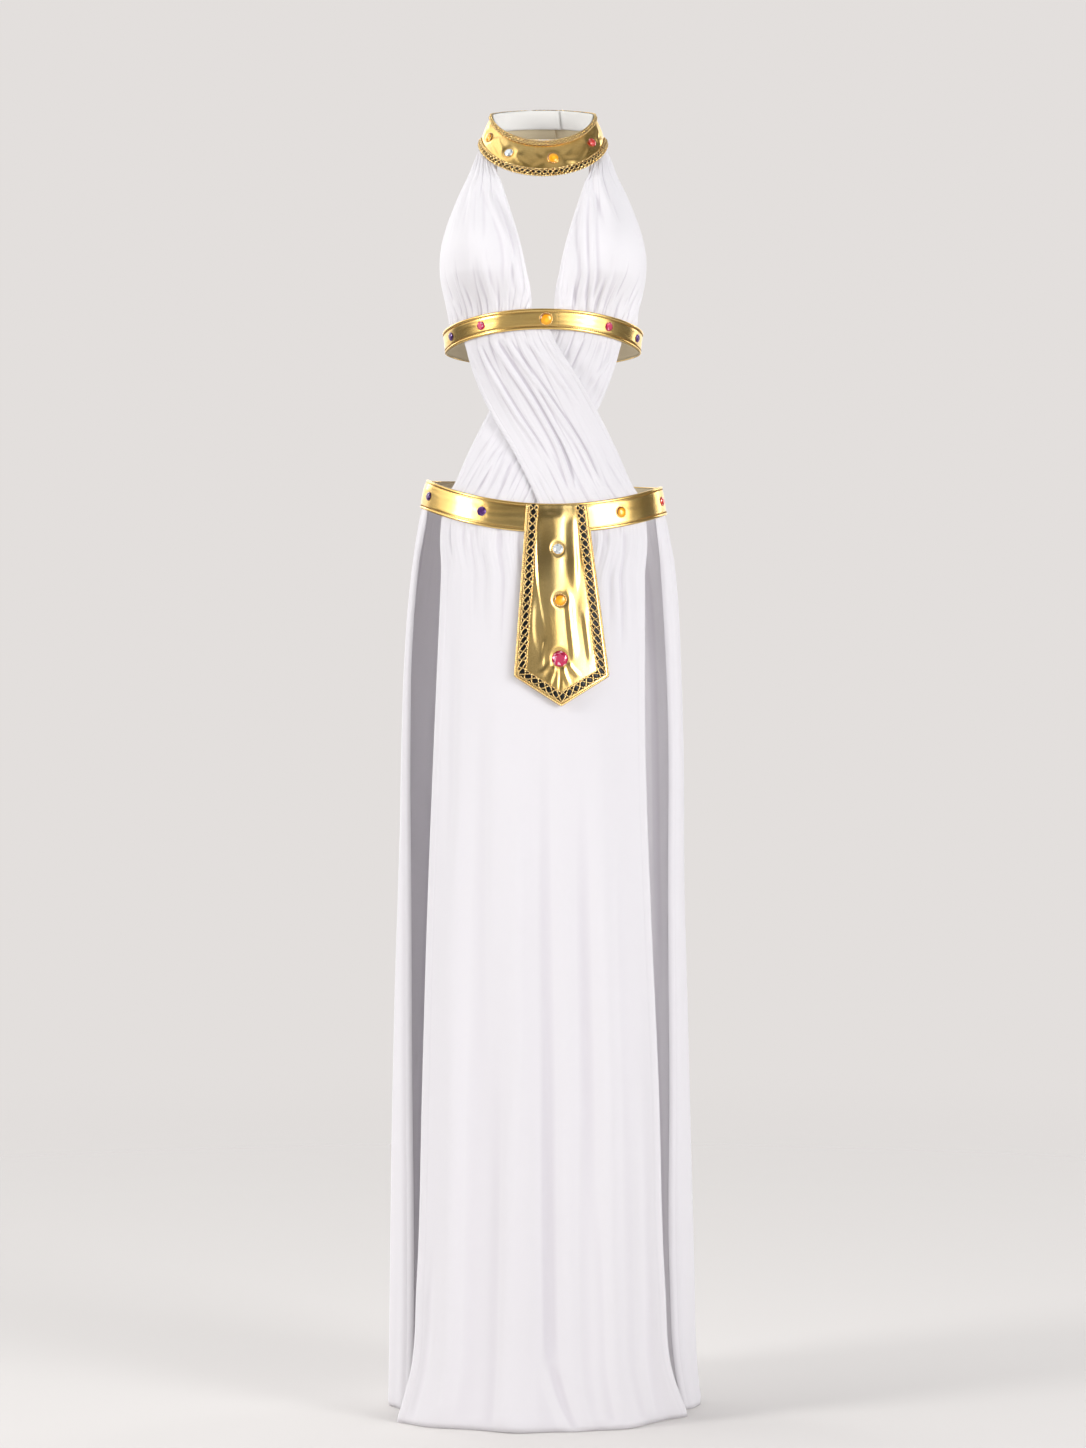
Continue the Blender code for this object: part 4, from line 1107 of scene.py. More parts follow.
skirtLimit = table("down depth", (0, 0.0006), (0.017, 0.0006), (0.026, 0.0020), (0.05, 0.0032),
                   (0.12, 0.0038), (0.20, 0.0042), (0.32, 0.0090), (1, 0.0160))
skirtTop = 0.60  # where the panels end under the belt, down from its top edge
skirtSeam = 0.014  # share of the panel under the belt
skirtJoin = (0.017, 0.075)  # where the panels leave the figure
skirtFoot = {"width": 0.019, "rise": 0.0004, "groove": 0.0004, "curl": 0.0016, "reach": 0.0035}
skirtFront = {
    "size": {"columns": 224, "rows": 116, "flat": (0.39, 1.06), "area": 0.387, "held": "gathered"},
    "shape": table(
        "height left right leftFront rightFront middleFront",
        (1.030, -0.1165, 0.1185, 0.062, 0.060, 0.1045),
        (0.990, -0.1175, 0.1184, 0.066, 0.064, 0.1090),
        (0.900, -0.1210, 0.1184, 0.070, 0.068, 0.1125),
        (0.800, -0.1253, 0.1184, 0.072, 0.070, 0.1145),
        (0.600, -0.1330, 0.1240, 0.077, 0.075, 0.1180),
        (0.390, -0.1390, 0.1320, 0.081, 0.079, 0.1210),
        (0.155, -0.1455, 0.1385, 0.085, 0.080, 0.1250),
        (0.060, -0.1520, 0.1460, 0.086, 0.070, 0.1290),
        (0.000, -0.1685, 0.1655, 0.081, 0.040, 0.1360),
    ),
    "angles": (-55, 56),
    "curve": 2.2,
    "gathers": (92, 9, 0.34, 6.0, 1.6, 0.02),  # seed, count, reach, width and depth in mm, fan
    "fromBelt": ((91, 13, 3.2, 0.17, 0.0), (94, 27, 1.5, 0.055, 0.0)),
    "longFolds": table(
        "across width depth start",
        (0.13, 0.075, 0.008, 0.08),
        (0.41, 0.085, 0.010, 0.08),
        (0.62, 0.050, 0.003, 0.25),
        (0.78, 0.070, 0.009, 0.08),
        (0.98, 0.035, 0.006, 0.30),
    ),
    "sideHem": {"width": 0.010, "rise": 0.0004, "groove": 0.0003, "curl": 0.0022, "reach": 0.0050},
    "creases": (
        (1, 860, 3, 420, 9, 60, 11, -3.6, 0.1, 0.35, 0.06),
        (9, 80, 20, 40, 35, 4, 9, -3.0, 0.2, 0.40, 0.02),
        (-15, 815, -14, 560, -12, 260, 9, -2.0, 0.0, 0.30, 0.40),
        (-96, 1025, -101, 985, -106, 935, 5, 1.7, 0.1, 0.03, 0.55),
        (-81, 1023, -79, 965, -77, 905, 4.5, -1.7, 0.0, 0.03, 0.60),
        (-66, 1021, -65, 1008, -64, 990, 3.2, -1.4, 0.0, 0.03, 0.60),
        (-60, 1021, -58, 960, -56, 880, 6, 1.7, 0.1, 0.05, 0.60),
        (-48, 1019, -47, 1010, -46, 995, 3, -1.2, 0.0, 0.03, 0.60),
        (57, 1019, 57, 1005, 58, 990, 3.2, -1.4, 0.0, 0.03, 0.60),
        (73, 1019, 73, 1008, 74, 998, 3, -1.2, 0.0, 0.03, 0.60),
        (81, 1021, 81, 960, 82, 880, 5, 1.5, 0.1, 0.05, 0.60),
        (92, 1021, 91, 950, 90, 868, 4, -2.2, 0.0, 0.03, 0.50),
        (108, 1021, 108, 940, 110, 850, 6, 1.6, 0.0, 0.05, 0.60),
        (-105, 950, -106, 760, -110, 560, 9, -2.2, 0.0, 0.30, 0.50),
        (-52, 900, -55, 640, -58, 320, 14, 2.4, 0.1, 0.30, 0.50),
        (71, 720, 75, 460, 84, 190, 13, 2.6, -0.1, 0.35, 0.40),
        (45, 760, 48, 480, 52, 210, 10, -2.0, 0.0, 0.35, 0.45),
        (-92, 540, -98, 260, -112, 10, 12, 2.4, 0.1, 0.40, 0.02),
        (-35, 420, -40, 200, -48, 4, 11, 2.0, 0.1, 0.45, 0.02),
        (100, 420, 108, 200, 122, 6, 10, 2.2, 0.0, 0.45, 0.02),
        (60, 300, 66, 140, 78, 4, 9, -1.8, 0.0, 0.45, 0.02),
        (-122, 240, -130, 110, -150, 6, 8, -2.0, 0.0, 0.45, 0.02),
    ),
}
skirtBack = {
    "size": {"columns": 290, "rows": 114, "flat": (0.62, 1.07), "area": 0.640, "held": "gathered"},
    "shape": table(
        "height left right leftEdge rightEdge middle back",
        (1.045, 0.1430, 0.1430, 72, 66, 0.000, 0.1135),
        (0.990, 0.1520, 0.1525, 73, 64, 0.008, 0.1230),
        (0.950, 0.1575, 0.1570, 72, 63, 0.014, 0.1280),
        (0.880, 0.1625, 0.1615, 72, 63, 0.018, 0.1330),
        (0.800, 0.1660, 0.1646, 70, 63, 0.020, 0.1355),
        (0.600, 0.1705, 0.1660, 65, 62, 0.020, 0.1380),
        (0.390, 0.1735, 0.1693, 62, 61, 0.020, 0.1410),
        (0.155, 0.1760, 0.1745, 59, 58, 0.020, 0.1450),
        (0.050, 0.1775, 0.1780, 59, 60, 0.020, 0.1490),
        (0.000, 0.1785, 0.1835, 60, 63, 0.020, 0.1540),
    ),
    "frontSpan": 0.070,
    "gathers": (96, 14, 0.36, 7.0, 1.8, 0.02),
    "fromBelt": ((95, 22, 3.8, 0.26, 0.0), (98, 42, 1.7, 0.070, 0.0)),
    "longFolds": table(
        "across width depth start",
        (0.20, 0.045, 0.008, 0.20),
        (0.36, 0.040, 0.010, 0.10),
        (0.50, 0.045, 0.011, 0.12),
        (0.65, 0.040, 0.010, 0.10),
        (0.81, 0.045, 0.008, 0.20),
    ),
    "sideHem": {"width": 0.010, "rise": 0.0005, "groove": 0.0003, "curl": 0.0030, "reach": 0.0060},
    # across and down at a crease's top, middle and end; width and depth in mm; lean, head, tail
    "creases": (
        (0.28, 0.02, 0.27, 0.30, 0.26, 0.62, 9, -3.0, 0.1, 0.10, 0.50),
        (0.43, 0.02, 0.43, 0.40, 0.43, 1.02, 10, -3.4, -0.1, 0.25, 0.02),
        (0.57, 0.02, 0.57, 0.40, 0.58, 1.02, 10, -3.2, 0.1, 0.25, 0.02),
        (0.72, 0.02, 0.73, 0.32, 0.74, 0.70, 9, -3.0, 0.0, 0.10, 0.50),
        (0.10, 0.02, 0.10, 0.25, 0.11, 0.55, 8, -1.8, 0.0, 0.05, 0.60),
        (0.90, 0.02, 0.90, 0.25, 0.89, 0.60, 8, -1.8, 0.0, 0.05, 0.60),
        (0.14, 0.35, 0.14, 0.70, 0.13, 1.02, 12, 2.4, 0.1, 0.40, 0.02),
        (0.28, 0.45, 0.28, 0.75, 0.29, 1.02, 10, -2.8, 0.0, 0.40, 0.02),
        (0.86, 0.30, 0.86, 0.70, 0.88, 1.02, 12, 2.2, -0.1, 0.40, 0.02),
        (0.73, 0.50, 0.73, 0.78, 0.72, 1.02, 10, -2.6, 0.0, 0.40, 0.02),
        (0.035, 0.04, 0.035, 0.5, 0.035, 1.02, 7, 1.5, 0.0, 0.20, 0.02),
        (0.965, 0.04, 0.965, 0.5, 0.965, 1.02, 7, 1.5, 0.0, 0.20, 0.02),
    ),
}


def skirtFrontDepth(across, height):
    # edge + (middle - edge) (1 - |2 across - 1|^curve), out in front of the middle plane
    left, right, middle = (
        smooth(skirtFront["shape"], name, "height", height)
        for name in ("leftFront", "rightFront", "middleFront")
    )
    edge = left + (right - left) * across
    return edge + (middle - edge) * (1 - np.abs(2 * across - 1) ** skirtFront["curve"])


def longFolds(folds, across, down):
    # soft ridges depth e^(-((across - at) / width)^2), each growing from its start to the hem
    depth = np.zeros(np.broadcast(across, down).shape)
    for at, width, most, start in zip(*folds.values()):
        depth = depth + most * np.exp(-(((across - at) / width) ** 2)) * ease(down, start, start + 0.6)
    return depth


def skirtFrontBase(across, down):
    angle = between(skirtFront["angles"], across)
    height = ringHeight(belt, angle, skirtTop) * (1 - down)
    left, right = (smooth(skirtFront["shape"], name, "height", height) for name in ("left", "right"))
    free = points(left + (right - left) * across, -skirtFrontDepth(across, height), height)
    return mix(figurePoint(angle, height, clothOut), free, ease(down, *skirtJoin))


def skirtBackBase(across, down):
    # half ellipses round the figure, whose ends are the free edges at the sides
    shape = skirtBack["shape"]
    first, last = shape["rightEdge"][0], 360 - shape["leftEdge"][0]
    beltAngle = between((first, last), across)
    height = ringHeight(belt, beltAngle, skirtTop) * (1 - down)
    row = {name: smooth(shape, name, "height", height) for name in shape}
    first, last = np.radians(row["rightEdge"]), np.radians(360 - row["leftEdge"])
    angle = first + (last - first) * across
    halfWidth = np.where(np.sin(angle) > 0, row["right"], row["left"])
    depth = np.where(np.cos(angle) > 0, skirtBack["frontSpan"], row["back"] - row["middle"])
    free = points(halfWidth * np.sin(angle), row["middle"] - depth * np.cos(angle), height)
    return mix(figurePoint(beltAngle, height, clothOut), free, ease(down, *skirtJoin))


def makeSkirt(name, node, panel, base, folds):
    def depth(across, down, acrossSize, downSize):
        raised = foldSum(across, down, acrossSize, downSize, folds)
        side = np.minimum(across, 1 - across) * acrossSize.mean(axis=1, keepdims=True)
        foot = (1 - down) * downSize.mean()
        fromBelt = np.maximum(down - skirtSeam, 0) * downSize.mean()
        raised = raised + gathered(across, fromBelt, panel["fromBelt"])
        hems = turnedEdge(side, panel["sideHem"]) + turnedEdge(foot, skirtFoot)
        limited = softLimit(raised + hems, np.interp(down, *skirtLimit.values()))
        return limited + longFolds(panel["longFolds"], across, down)
    clothPiece(name, node, base, depth, panel["size"], "skirtJersey", dense=0.45)


def makeSkirts():
    folds = placedFolds(skirtFrontBase, skirtFront["creases"])
    folds += seamGathers(*skirtFront["gathers"])
    makeSkirt("skirtFront", "skirt_front", skirtFront, skirtFrontBase, folds)
    folds = [(*row[:6], row[6] * millimetre, row[7] * millimetre, *row[8:]) for row in skirtBack["creases"]]
    folds += seamGathers(*skirtBack["gathers"])
    makeSkirt("skirtBack", "skirt_back", skirtBack, skirtBackBase, folds)
    print("skirt made")


makeSkirts()


# Foil bands and the collar

def nearStones(surface, stones, places, reach):
    # 0 on a stone, 1 well away from it, so that the foil lies flat where a stone sits
    clear = np.ones(places.shape[:-1])
    for at, down, radius, _ in stones:
        spot = surface(np.radians(np.float64(at)), np.float64(down))
        distance = np.linalg.norm(places - spot, axis=-1)
        clear = clear * ease(distance, radius * 1.0, radius * reach)
    return clear


def foldedEdge(along, distance, pitch):
    # foil folded over at its edge: a half-round roll 2.7 mm wide, then a sewn groove whose stitches
    # pucker the film, then the flat foil
    roll = 0.00055 * np.sin(math.pi * np.clip(distance / 0.0027, 0, 1)) ** 0.7
    tuck = -0.0008 * np.clip(1 - distance / 0.0006, 0, 1) ** 1.5
    groove = np.exp(-(((distance - stitchInset) / 0.0008) ** 2))
    pucker = 0.75 + 0.25 * np.cos(2 * math.pi * along / pitch)
    return roll + tuck - 0.00055 * groove * pucker


def foilPiece(name, node, surface, depth, finish, columns, rows):
    # a thin shell: surface point + outward normal * depth, with its map in metres
    across, down = np.meshgrid(columns, rows)
    acrossSize, downSize = spans(surface, across, down)
    u = (across - across.min()) * acrossSize.mean()
    v = down * downSize
    places = movedOut(surface, across, down, depth(across, down, acrossSize, downSize, u, v))
    uv = np.stack([u, v], axis=-1)
    made = addNet(name, places, uv)
    wall = addWall(made, foilWall)
    finishPiece(made, finish, [node])
    made.data.materials.append(bpy.data.materials["foilReverse"])
    wall.material_offset = 1  # the cloth side of the foil faces in


stitch = {"pitch": 0.0027, "long": 0.0021, "radius": 0.00052, "slant": 0.5, "sunk": 0.00015}
bandFoil = {
    "flatEdge": (0.0032, 0.0065),  # wrinkles are gone at the first and full at the second, from an edge
    "limit": 0.0006,
    "stoneReach": 1.7,  # the foil is flat round a stone out to this many of its radii
}


def makeBand(name, node, part):
    halfLap = halfLapLength / part["backRadius"]
    surface = lapped(bandSurface(part, bandOut), halfLap, lapRise)
    columns = np.linspace(-math.pi - halfLap, math.pi + halfLap, part["columns"])
    draw = np.random.default_rng(part["seed"])
    count = part["streaks"]
    streaks = []  # long low wrinkles that run round the band
    for angle, long, high, wide, deep, tilt in zip(
        draw.uniform(-3.0, 3.0, count), draw.uniform(0.15, 0.50, count), draw.uniform(0.25, 0.75, count),
        draw.uniform(1.3, 2.6, count), draw.uniform(0.12, 0.34, count), draw.uniform(-0.10, 0.10, count),
    ):
        streaks.append((high, angle - long, high + tilt, angle, high - tilt, angle + long,
                        wide * millimetre, deep * millimetre, 0.2, 0.45, 0.45))

    def depth(across, down, acrossSize, downSize, u, v):
        raised = foldSum(down, across, downSize, acrossSize, streaks)
        raised = raised + part["ripple"] * ripple(u, v * 0.5, part["seed"], part["rippleSize"])
        edge = np.minimum(down, 1 - down) * downSize
        inside = ease(edge, *bandFoil["flatEdge"])
        flat = nearStones(surface, part["stones"], surface(across, down), bandFoil["stoneReach"])
        wrinkled = softLimit(raised * inside * flat, bandFoil["limit"])
        return wrinkled + foldedEdge(u, edge, stitch["pitch"])
    foilPiece(name, node, surface, depth, "goldFoil", columns,
              edgeDense(part["rows"], 0.55))
    return surface


def makeCollar():
    halfLap = halfLapLength / collar["backRadius"]
    ring = lapped(collarSurface, halfLap, lapRise)
    columns = np.linspace(-math.pi - halfLap, math.pi + halfLap, collar["columns"])
    rays = []
    for start, end, far, wide, deep in collar["rays"]:
        near, there = sorted((np.radians(start), np.radians(end)))
        first, last = (0.5, far) if start < end else (far, 0.5)
        rays.append((first, near, (first + last) / 2 + 0.04, (near + there) / 2, last, there,
                     wide * collar["rayWidth"] * millimetre, deep * collar["rayDepth"] * millimetre,
                     0.2, 0.35, 0.45))

    def depth(across, down, acrossSize, downSize, u, v):
        raised = foldSum(down, across, downSize, acrossSize, rays)
        for seed, height, gap in collar["ripples"]:
            raised = raised + height * ripple(u, v, seed, gap)
        high, start, reach = collar["swell"]
        swell = high * np.sin(np.clip((down - start) / reach, 0, 1) * math.pi)
        edge = np.minimum(down, 1 - down) * downSize
        inside = ease(edge, *collar["flatEdge"])
        flat = nearStones(ring, collar["stones"], ring(across, down), collar["stoneReach"])
        return softLimit(raised * inside * flat, collar["limit"]) + swell * flat
    foilPiece("collarFoil", "collar", ring, depth, "goldFoil", columns,
              np.linspace(0, 1, collar["rows"]))

    backing = collar["backing"]
    inner = np.linspace(-math.pi - 1.5 * halfLap, math.pi - 1.3 * halfLap, backing["columns"])
    across, down = np.meshgrid(inner, np.linspace(*backing["down"], backing["rows"]))
    places = movedOut(ring, across, down, np.full(across.shape, backing["out"]))
    uv = np.stack([across * 0.065, down * 0.046], axis=-1)
    made = addNet("collarBacking", places, uv)
    addWall(made, backing["wall"])
    finishPiece(made, "collarBacking", ["collar_lining"])
    return ring, halfLap


bandRing = makeBand("bustBandFoil", "bust_band", bustBand)
beltRing = makeBand("beltFoil", "belt", belt)
collarRing, collarHalfLap = makeCollar()
print("collar, bust band and belt made")


# The tab

tab = {
    # x and height, from the top at +X round the point to the top at -X
    "outline": np.array([(0.0500, 1.0505), (0.0750, 0.8545), (0.0205, 0.8205), (-0.0325, 0.8545),
                         (-0.0185, 1.0505)]),
    "standoff": 0.0062,
    "braidInset": (0.0030, 0.0132),
    "columns": 78,
    "rows": 108,
    "flat": (0.108, 0.232),
    "area": 0.0200,
    "ripple": (8, 0.00035, 0.022),  # seed, height and usual gap
    "flatRound": (0.95, 1.6),  # round a stone, in its radii
    "flatEdge": (0.009, 0.017),
    "footSlant": 0.8,  # from a height above the point's edges to the distance square to them
    "hem": (0.0004, 0.005, 0.0009),  # depth, place and width of the sewn groove at the top
    "limits": (0.0014, 0.0034),  # inward and outward
    "leavesBelt": (0.960, 1.020),
    # x and height of a wrinkle's top, middle and end, width, depth: mm; lean, head and tail: shares
    "creases": (
        (-6, 1044, -5, 985, 6, 900, 4.4, 1.9, 0.25, 0.12, 0.30),
        (7, 1044, 8, 950, 12, 856, 12.0, 3.2, 0.30, 0.06, 0.12),
        (33, 1040, 36, 985, 38, 930, 5.0, 1.3, -0.3, 0.15, 0.45),
        (27, 960, 30, 920, 36, 868, 4.2, 1.8, 0.3, 0.30, 0.25),
        (-12, 952, -14, 915, -10, 875, 3.8, 1.2, 0.2, 0.35, 0.35),
        (46, 932, 50, 900, 54, 868, 3.6, 1.5, 0.3, 0.35, 0.25),
        (3, 900, 1, 885, -4, 862, 2.6, 1.1, 0.2, 0.30, 0.30),
        (14, 866, 10, 853, 5, 840, 1.9, 1.3, 0.0, 0.15, 0.30),
        (19, 864, 19, 850, 18, 836, 1.6, -1.0, 0.0, 0.15, 0.30),
        (23, 866, 26, 854, 31, 843, 1.9, 1.3, 0.0, 0.15, 0.30),
        (28, 870, 34, 862, 43, 853, 2.0, 1.2, 0.0, 0.15, 0.30),
        (9, 870, 3, 862, -6, 855, 2.0, 1.2, 0.0, 0.15, 0.30),
    ),
    "stones": ((0.0170, 0.999, 0.0062, "clear"), (0.0193, 0.941, 0.0068, "amber"),
               (0.0193, 0.874, 0.0092, "pink")),
}


def tabPlace(x, height):
    # in front of the skirt by the standoff, and round the belt where it hangs over it
    left, right = (smooth(skirtFront["shape"], name, "height", height) for name in ("left", "right"))
    depth = skirtFrontDepth((x - left) / (right - left), height) + tab["standoff"]
    return mix(points(x, -depth, height), frontPoint(x, height, tabOut), ease(height, *tab["leavesBelt"]))


def tabSurface(across, down):
    # even columns from the top edge to the side edges, whose feet follow the point
    topRight, right, tip, left, topLeft = tab["outline"]
    bottom = left[1] + (tip[1] - left[1]) * (1 - np.abs(2 * across - 1))
    start = topLeft[0] + (topRight[0] - topLeft[0]) * across
    end = left[0] + (right[0] - left[0]) * across
    return tabPlace(start + (end - start) * down, topLeft[1] + (bottom - topLeft[1]) * down)


def insetOutline(inset):
    # the outline moved in by the same distance along every edge but the top
    outline = tab["outline"]
    along = unit(np.diff(outline, axis=0))
    starts = outline[:-1] + np.stack([along[:, 1], -along[:, 0]], axis=1) * inset
    top = (outline[0] * (0, 1), np.array((1.0, 0.0)))
    lines = [top, *zip(starts, along), top]
    corners = []
    for (here, way), (other, otherWay) in zip(lines, lines[1:]):
        share, _ = np.linalg.solve(np.stack([way, -otherWay], axis=1), other - here)
        corners.append(here + way * share)
    return np.array(corners)


def tabStrip(edges):
    # a strip round the tab between two insets: across runs along it, down from its outer edge in
    knots = np.linspace(0, 1, len(tab["outline"]))
    outer, inner = (insetOutline(inset) for inset in edges)
    def surface(across, down):
        x, height = (
            np.interp(across, knots, outer[:, k]) * (1 - down) + np.interp(across, knots, inner[:, k]) * down
            for k in (0, 1)
        )
        return tabPlace(x, height)
    return surface


def makeTab():
    folds = placedFolds(tabSurface, tab["creases"])

    def depth(across, down, acrossSize, downSize, u, v):
        raised = foldSum(across, down, acrossSize, downSize, folds)
        seed, high, gap = tab["ripple"]
        raised = raised + high * ripple(u, v * 0.5, seed, gap)
        places = tabSurface(across, down)
        clear = np.ones(across.shape)
        for x, height, radius, _ in tab["stones"]:
            distance = np.hypot(places[..., 0] - x, places[..., 2] + neckHeight - height)
            clear = clear * ease(distance, *(radius * share for share in tab["flatRound"]))
        side = np.minimum(across, 1 - across) * acrossSize
        foot = (1 - down) * downSize * tab["footSlant"]
        inside = ease(np.minimum(side, foot), *tab["flatEdge"])
        deep, at, wide = tab["hem"]
        hem = -deep * np.exp(-((down * downSize - at) / wide) ** 2)
        return softLimit(raised * inside * clear, np.where(raised < 0, *tab["limits"])) + hem
    foilPiece("tabFoil", "tab", tabSurface, depth, "tabFoil", np.linspace(0, 1, tab["columns"]),
              np.linspace(0, 1, tab["rows"]))


makeTab()


# Braids, cords and stitches

def stripOf(surface, first, last, count=900):
    # a narrow strip as arc lengths with its outer edge, inner edge and outward normal at each
    along = np.linspace(first, last, count)
    outer, inner = (surface(along, np.full(count, float(side))) for side in (0, 1))
    middle = (outer + inner) / 2
    step = np.linalg.norm(np.diff(middle, axis=0), axis=1)
    run = np.gradient(middle, axis=0)
    normal = unit(np.cross(inner - outer, run))
    length = np.concatenate([[0], np.cumsum(step)])
    return {"length": length, "outer": outer, "inner": inner, "normal": normal}


def onStrip(strip, s, side, lift):
    # outer + (inner - outer) side + normal lift, at arc length s
    def at(name):
        return np.stack([np.interp(s, strip["length"], strip[name][:, k]) for k in range(3)], axis=-1)
    outer = at("outer")
    lift, side = (np.asarray(value)[..., None] for value in (lift, side))
    return outer + (at("inner") - outer) * side + at("normal") * lift


def tube(centres, upward, radius, sides=6):
    # ring k is centre + r (cos t across + sin t up), closed with a cap at each end
    run = unit(np.gradient(centres, axis=0))
    across = unit(np.cross(run, upward))
    up = np.cross(across, run)
    turn = evenTurns(sides)[None, :, None]
    radius = np.broadcast_to(np.asarray(radius), len(centres))[:, None, None]
    rings = centres[:, None] + radius * (np.cos(turn) * across[:, None] + np.sin(turn) * up[:, None])
    length = np.concatenate([[0], np.cumsum(np.linalg.norm(np.diff(centres, axis=0), axis=1))])
    u, v = np.meshgrid(length, np.linspace(0, 1, sides, endpoint=False), indexing="ij")
    last = (len(centres) - 1) * sides + np.arange(sides)
    wall = gridFaces(len(centres), sides, wrapped=True)[:, ::-1]
    faces = [wall, np.arange(sides)[None, :], last[None, ::-1]]
    return rings.reshape(-1, 3), faces, np.stack([u, v], axis=-1).reshape(-1, 2)


def cordOn(strip, wave, radius, perRepeat, pitch, margin=0.0008):
    # a cord along the strip: wave(phase) gives its side (0 to 1) and its lift, phase in repeats
    total = strip["length"][-1]
    count = max(8, int(round(total / pitch)) * perRepeat)
    s = np.linspace(margin, total - margin, count)
    phase = s / total * round(total / pitch)
    side, lift = wave(phase)
    centres = onStrip(strip, s, side, lift)
    upward = onStrip(strip, s, side, lift + 0.001) - centres
    return tube(centres, upward, radius)


def ribbonOn(strip, pitch, lift, puff, sides, perRepeat=6):
    # a flat black ribbon, raised in a soft pad at the middle of each repeat
    total = strip["length"][-1]
    repeats = round(total / pitch)
    s, side = np.meshgrid(np.linspace(0.0005, total - 0.0005, repeats * perRepeat), np.linspace(*sides, 6))
    phase = s / total * repeats
    pad = np.maximum(np.cos(2 * math.pi * phase), 0) * np.sin(np.linspace(0, math.pi, 6))[:, None]
    places = onStrip(strip, s, side, lift + puff * pad)
    uv = np.stack([s, side * 0.008], axis=-1)
    return places.reshape(-1, 3), [gridFaces(*s.shape)], uv.reshape(-1, 2)


def stitchesOn(strip, side, lift, pitch, long, radius, slant=0.0):
    # small round-ended stitches in a row: a six-sided spindle scaled along the seam at each place
    total = strip["length"][-1]
    count = int(total / pitch)
    middle = (np.arange(count) + 0.5) * total / count
    end, thick = np.array((-1.0, -0.6, 0.6, 1.0)), np.array((0.3, 1.0, 1.0, 0.3))
    turn = evenTurns(6)
    here = onStrip(strip, middle, side, lift)
    way = onStrip(strip, np.minimum(middle + 0.0004, total), side, lift) - here
    way = way + (onStrip(strip, middle, side + 0.05, lift) - here) * slant
    way = unit(way)
    up = unit(onStrip(strip, middle, side, lift + 0.001) - here)
    over = np.cross(way, up)
    spindle = (
        way[:, None, None] * (end * long / 2)[None, :, None, None]
        + radius * thick[None, :, None, None] * (
            over[:, None, None] * np.cos(turn)[None, None, :, None]
            + up[:, None, None] * np.sin(turn)[None, None, :, None]
        )
    )
    places = (here[:, None, None] + spindle).reshape(-1, 3)
    template = gridFaces(4, 6, wrapped=True)[:, ::-1]
    start = np.arange(count)[:, None, None] * 24
    caps = [np.arange(6)[None, :], (18 + np.arange(6))[None, ::-1]]
    faces = [(template[None] + start).reshape(-1, 4)] + [(cap[None] + start).reshape(-1, 6) for cap in caps]
    u = np.broadcast_to((end * long / 2)[None, :, None], (count, 4, 6))
    v = np.broadcast_to((turn / (2 * math.pi))[None, None, :], (count, 4, 6))
    return places, faces, np.stack([u, v], axis=-1).reshape(-1, 2)


def addShapes(name, shapes, finish, nodes=()):
    places, faces, uv = joinShapes(shapes)
    made = addMesh(name, places, faces, uv)
    return finishPiece(made, finish, nodes)


braidFoot = foilWall / 2 + 0.0002
collarBraid = {
    # each cord: middle and swing across the strip, lift and rise in radii, waves a repeat, steps a
    # repeat and thickness in radii
    "bottom": {
        "down": (0.805, 1.035), "pitch": 0.0065, "radius": 0.00082, "ribbonSides": (0.16, 0.86),
        "cords": ((0.48, 0.25, 1.5, 0.8, 1, 9, 1), (0.48, -0.25, 1.5, -0.8, 1, 9, 1),
                  (0.08, 0.03, 1.0, 0.3, 4, 9, 1), (0.91, 0.09, 1.1, 0.6, 4, 13, 1)),
    },
    "top": {
        "down": (-0.035, 0.150), "pitch": 0.0048, "radius": 0.00066, "ribbonSides": (0.10, 0.90),
        "cords": ((0.28, 0.17, 1.5, 0.8, 1, 8, 1), (0.28, -0.17, 1.5, -0.8, 1, 8, 1),
                  (0.72, 0.17, 1.5, 0.8, 1, 8, 1), (0.72, -0.17, 1.5, -0.8, 1, 8, 1)),
    },
}


def braidCords(strip, part):
    # side = middle + swing cos(n pi p) and lift = foot + r (lift + rise sin(n pi p)), p in repeats
    shapes = []
    for middle, swing, lift, rise, waves, steps, thick in part["cords"]:
        def wave(p, middle=middle, swing=swing, lift=lift, rise=rise, waves=waves):
            turn = waves * math.pi * p
            return middle + swing * np.cos(turn), braidFoot + part["radius"] * (lift + rise * np.sin(turn))
        shapes.append(cordOn(strip, wave, part["radius"] * thick, steps, part["pitch"]))
    return shapes


def makeCollarBraids():
    first, last = -math.pi + 1.3 * collarHalfLap, math.pi + collarHalfLap
    for name, part in collarBraid.items():
        low, high = part["down"]
        def surface(angle, down, low=low, high=high):
            return collarRing(angle, low + (high - low) * down)
        strip = stripOf(surface, first, last)
        shapes = braidCords(strip, part)
        label = name.capitalize()
        addShapes("collarBraid" + label, shapes, "goldCord", ["collar_braid_" + name])
        ribbon = ribbonOn(strip, part["pitch"], braidFoot, part["radius"] * 0.7, part["ribbonSides"])
        made = addShapes("collarRibbon" + label, [ribbon], "blackRibbon")
        addWall(made, ribbonWall, -1)


tabBraid = {
    "pitch": 0.0092, "radius": 0.00078, "ribbonSides": (0.10, 0.90),
    "cords": ((0.5, 0.37, 1.6, 0.85, 1, 12, 1), (0.5, -0.37, 1.6, -0.85, 1, 12, 1),
              (0.04, 0.05, 0.9, 0, 4, 8, 0.85), (0.96, 0.05, 0.9, 0, 4, 8, 0.85)),
    # the cord along the very edge: radius, its side and lift on the strip, steps a repeat
    "binding": (0.0014, 0.20, 0.0002, 4),
}


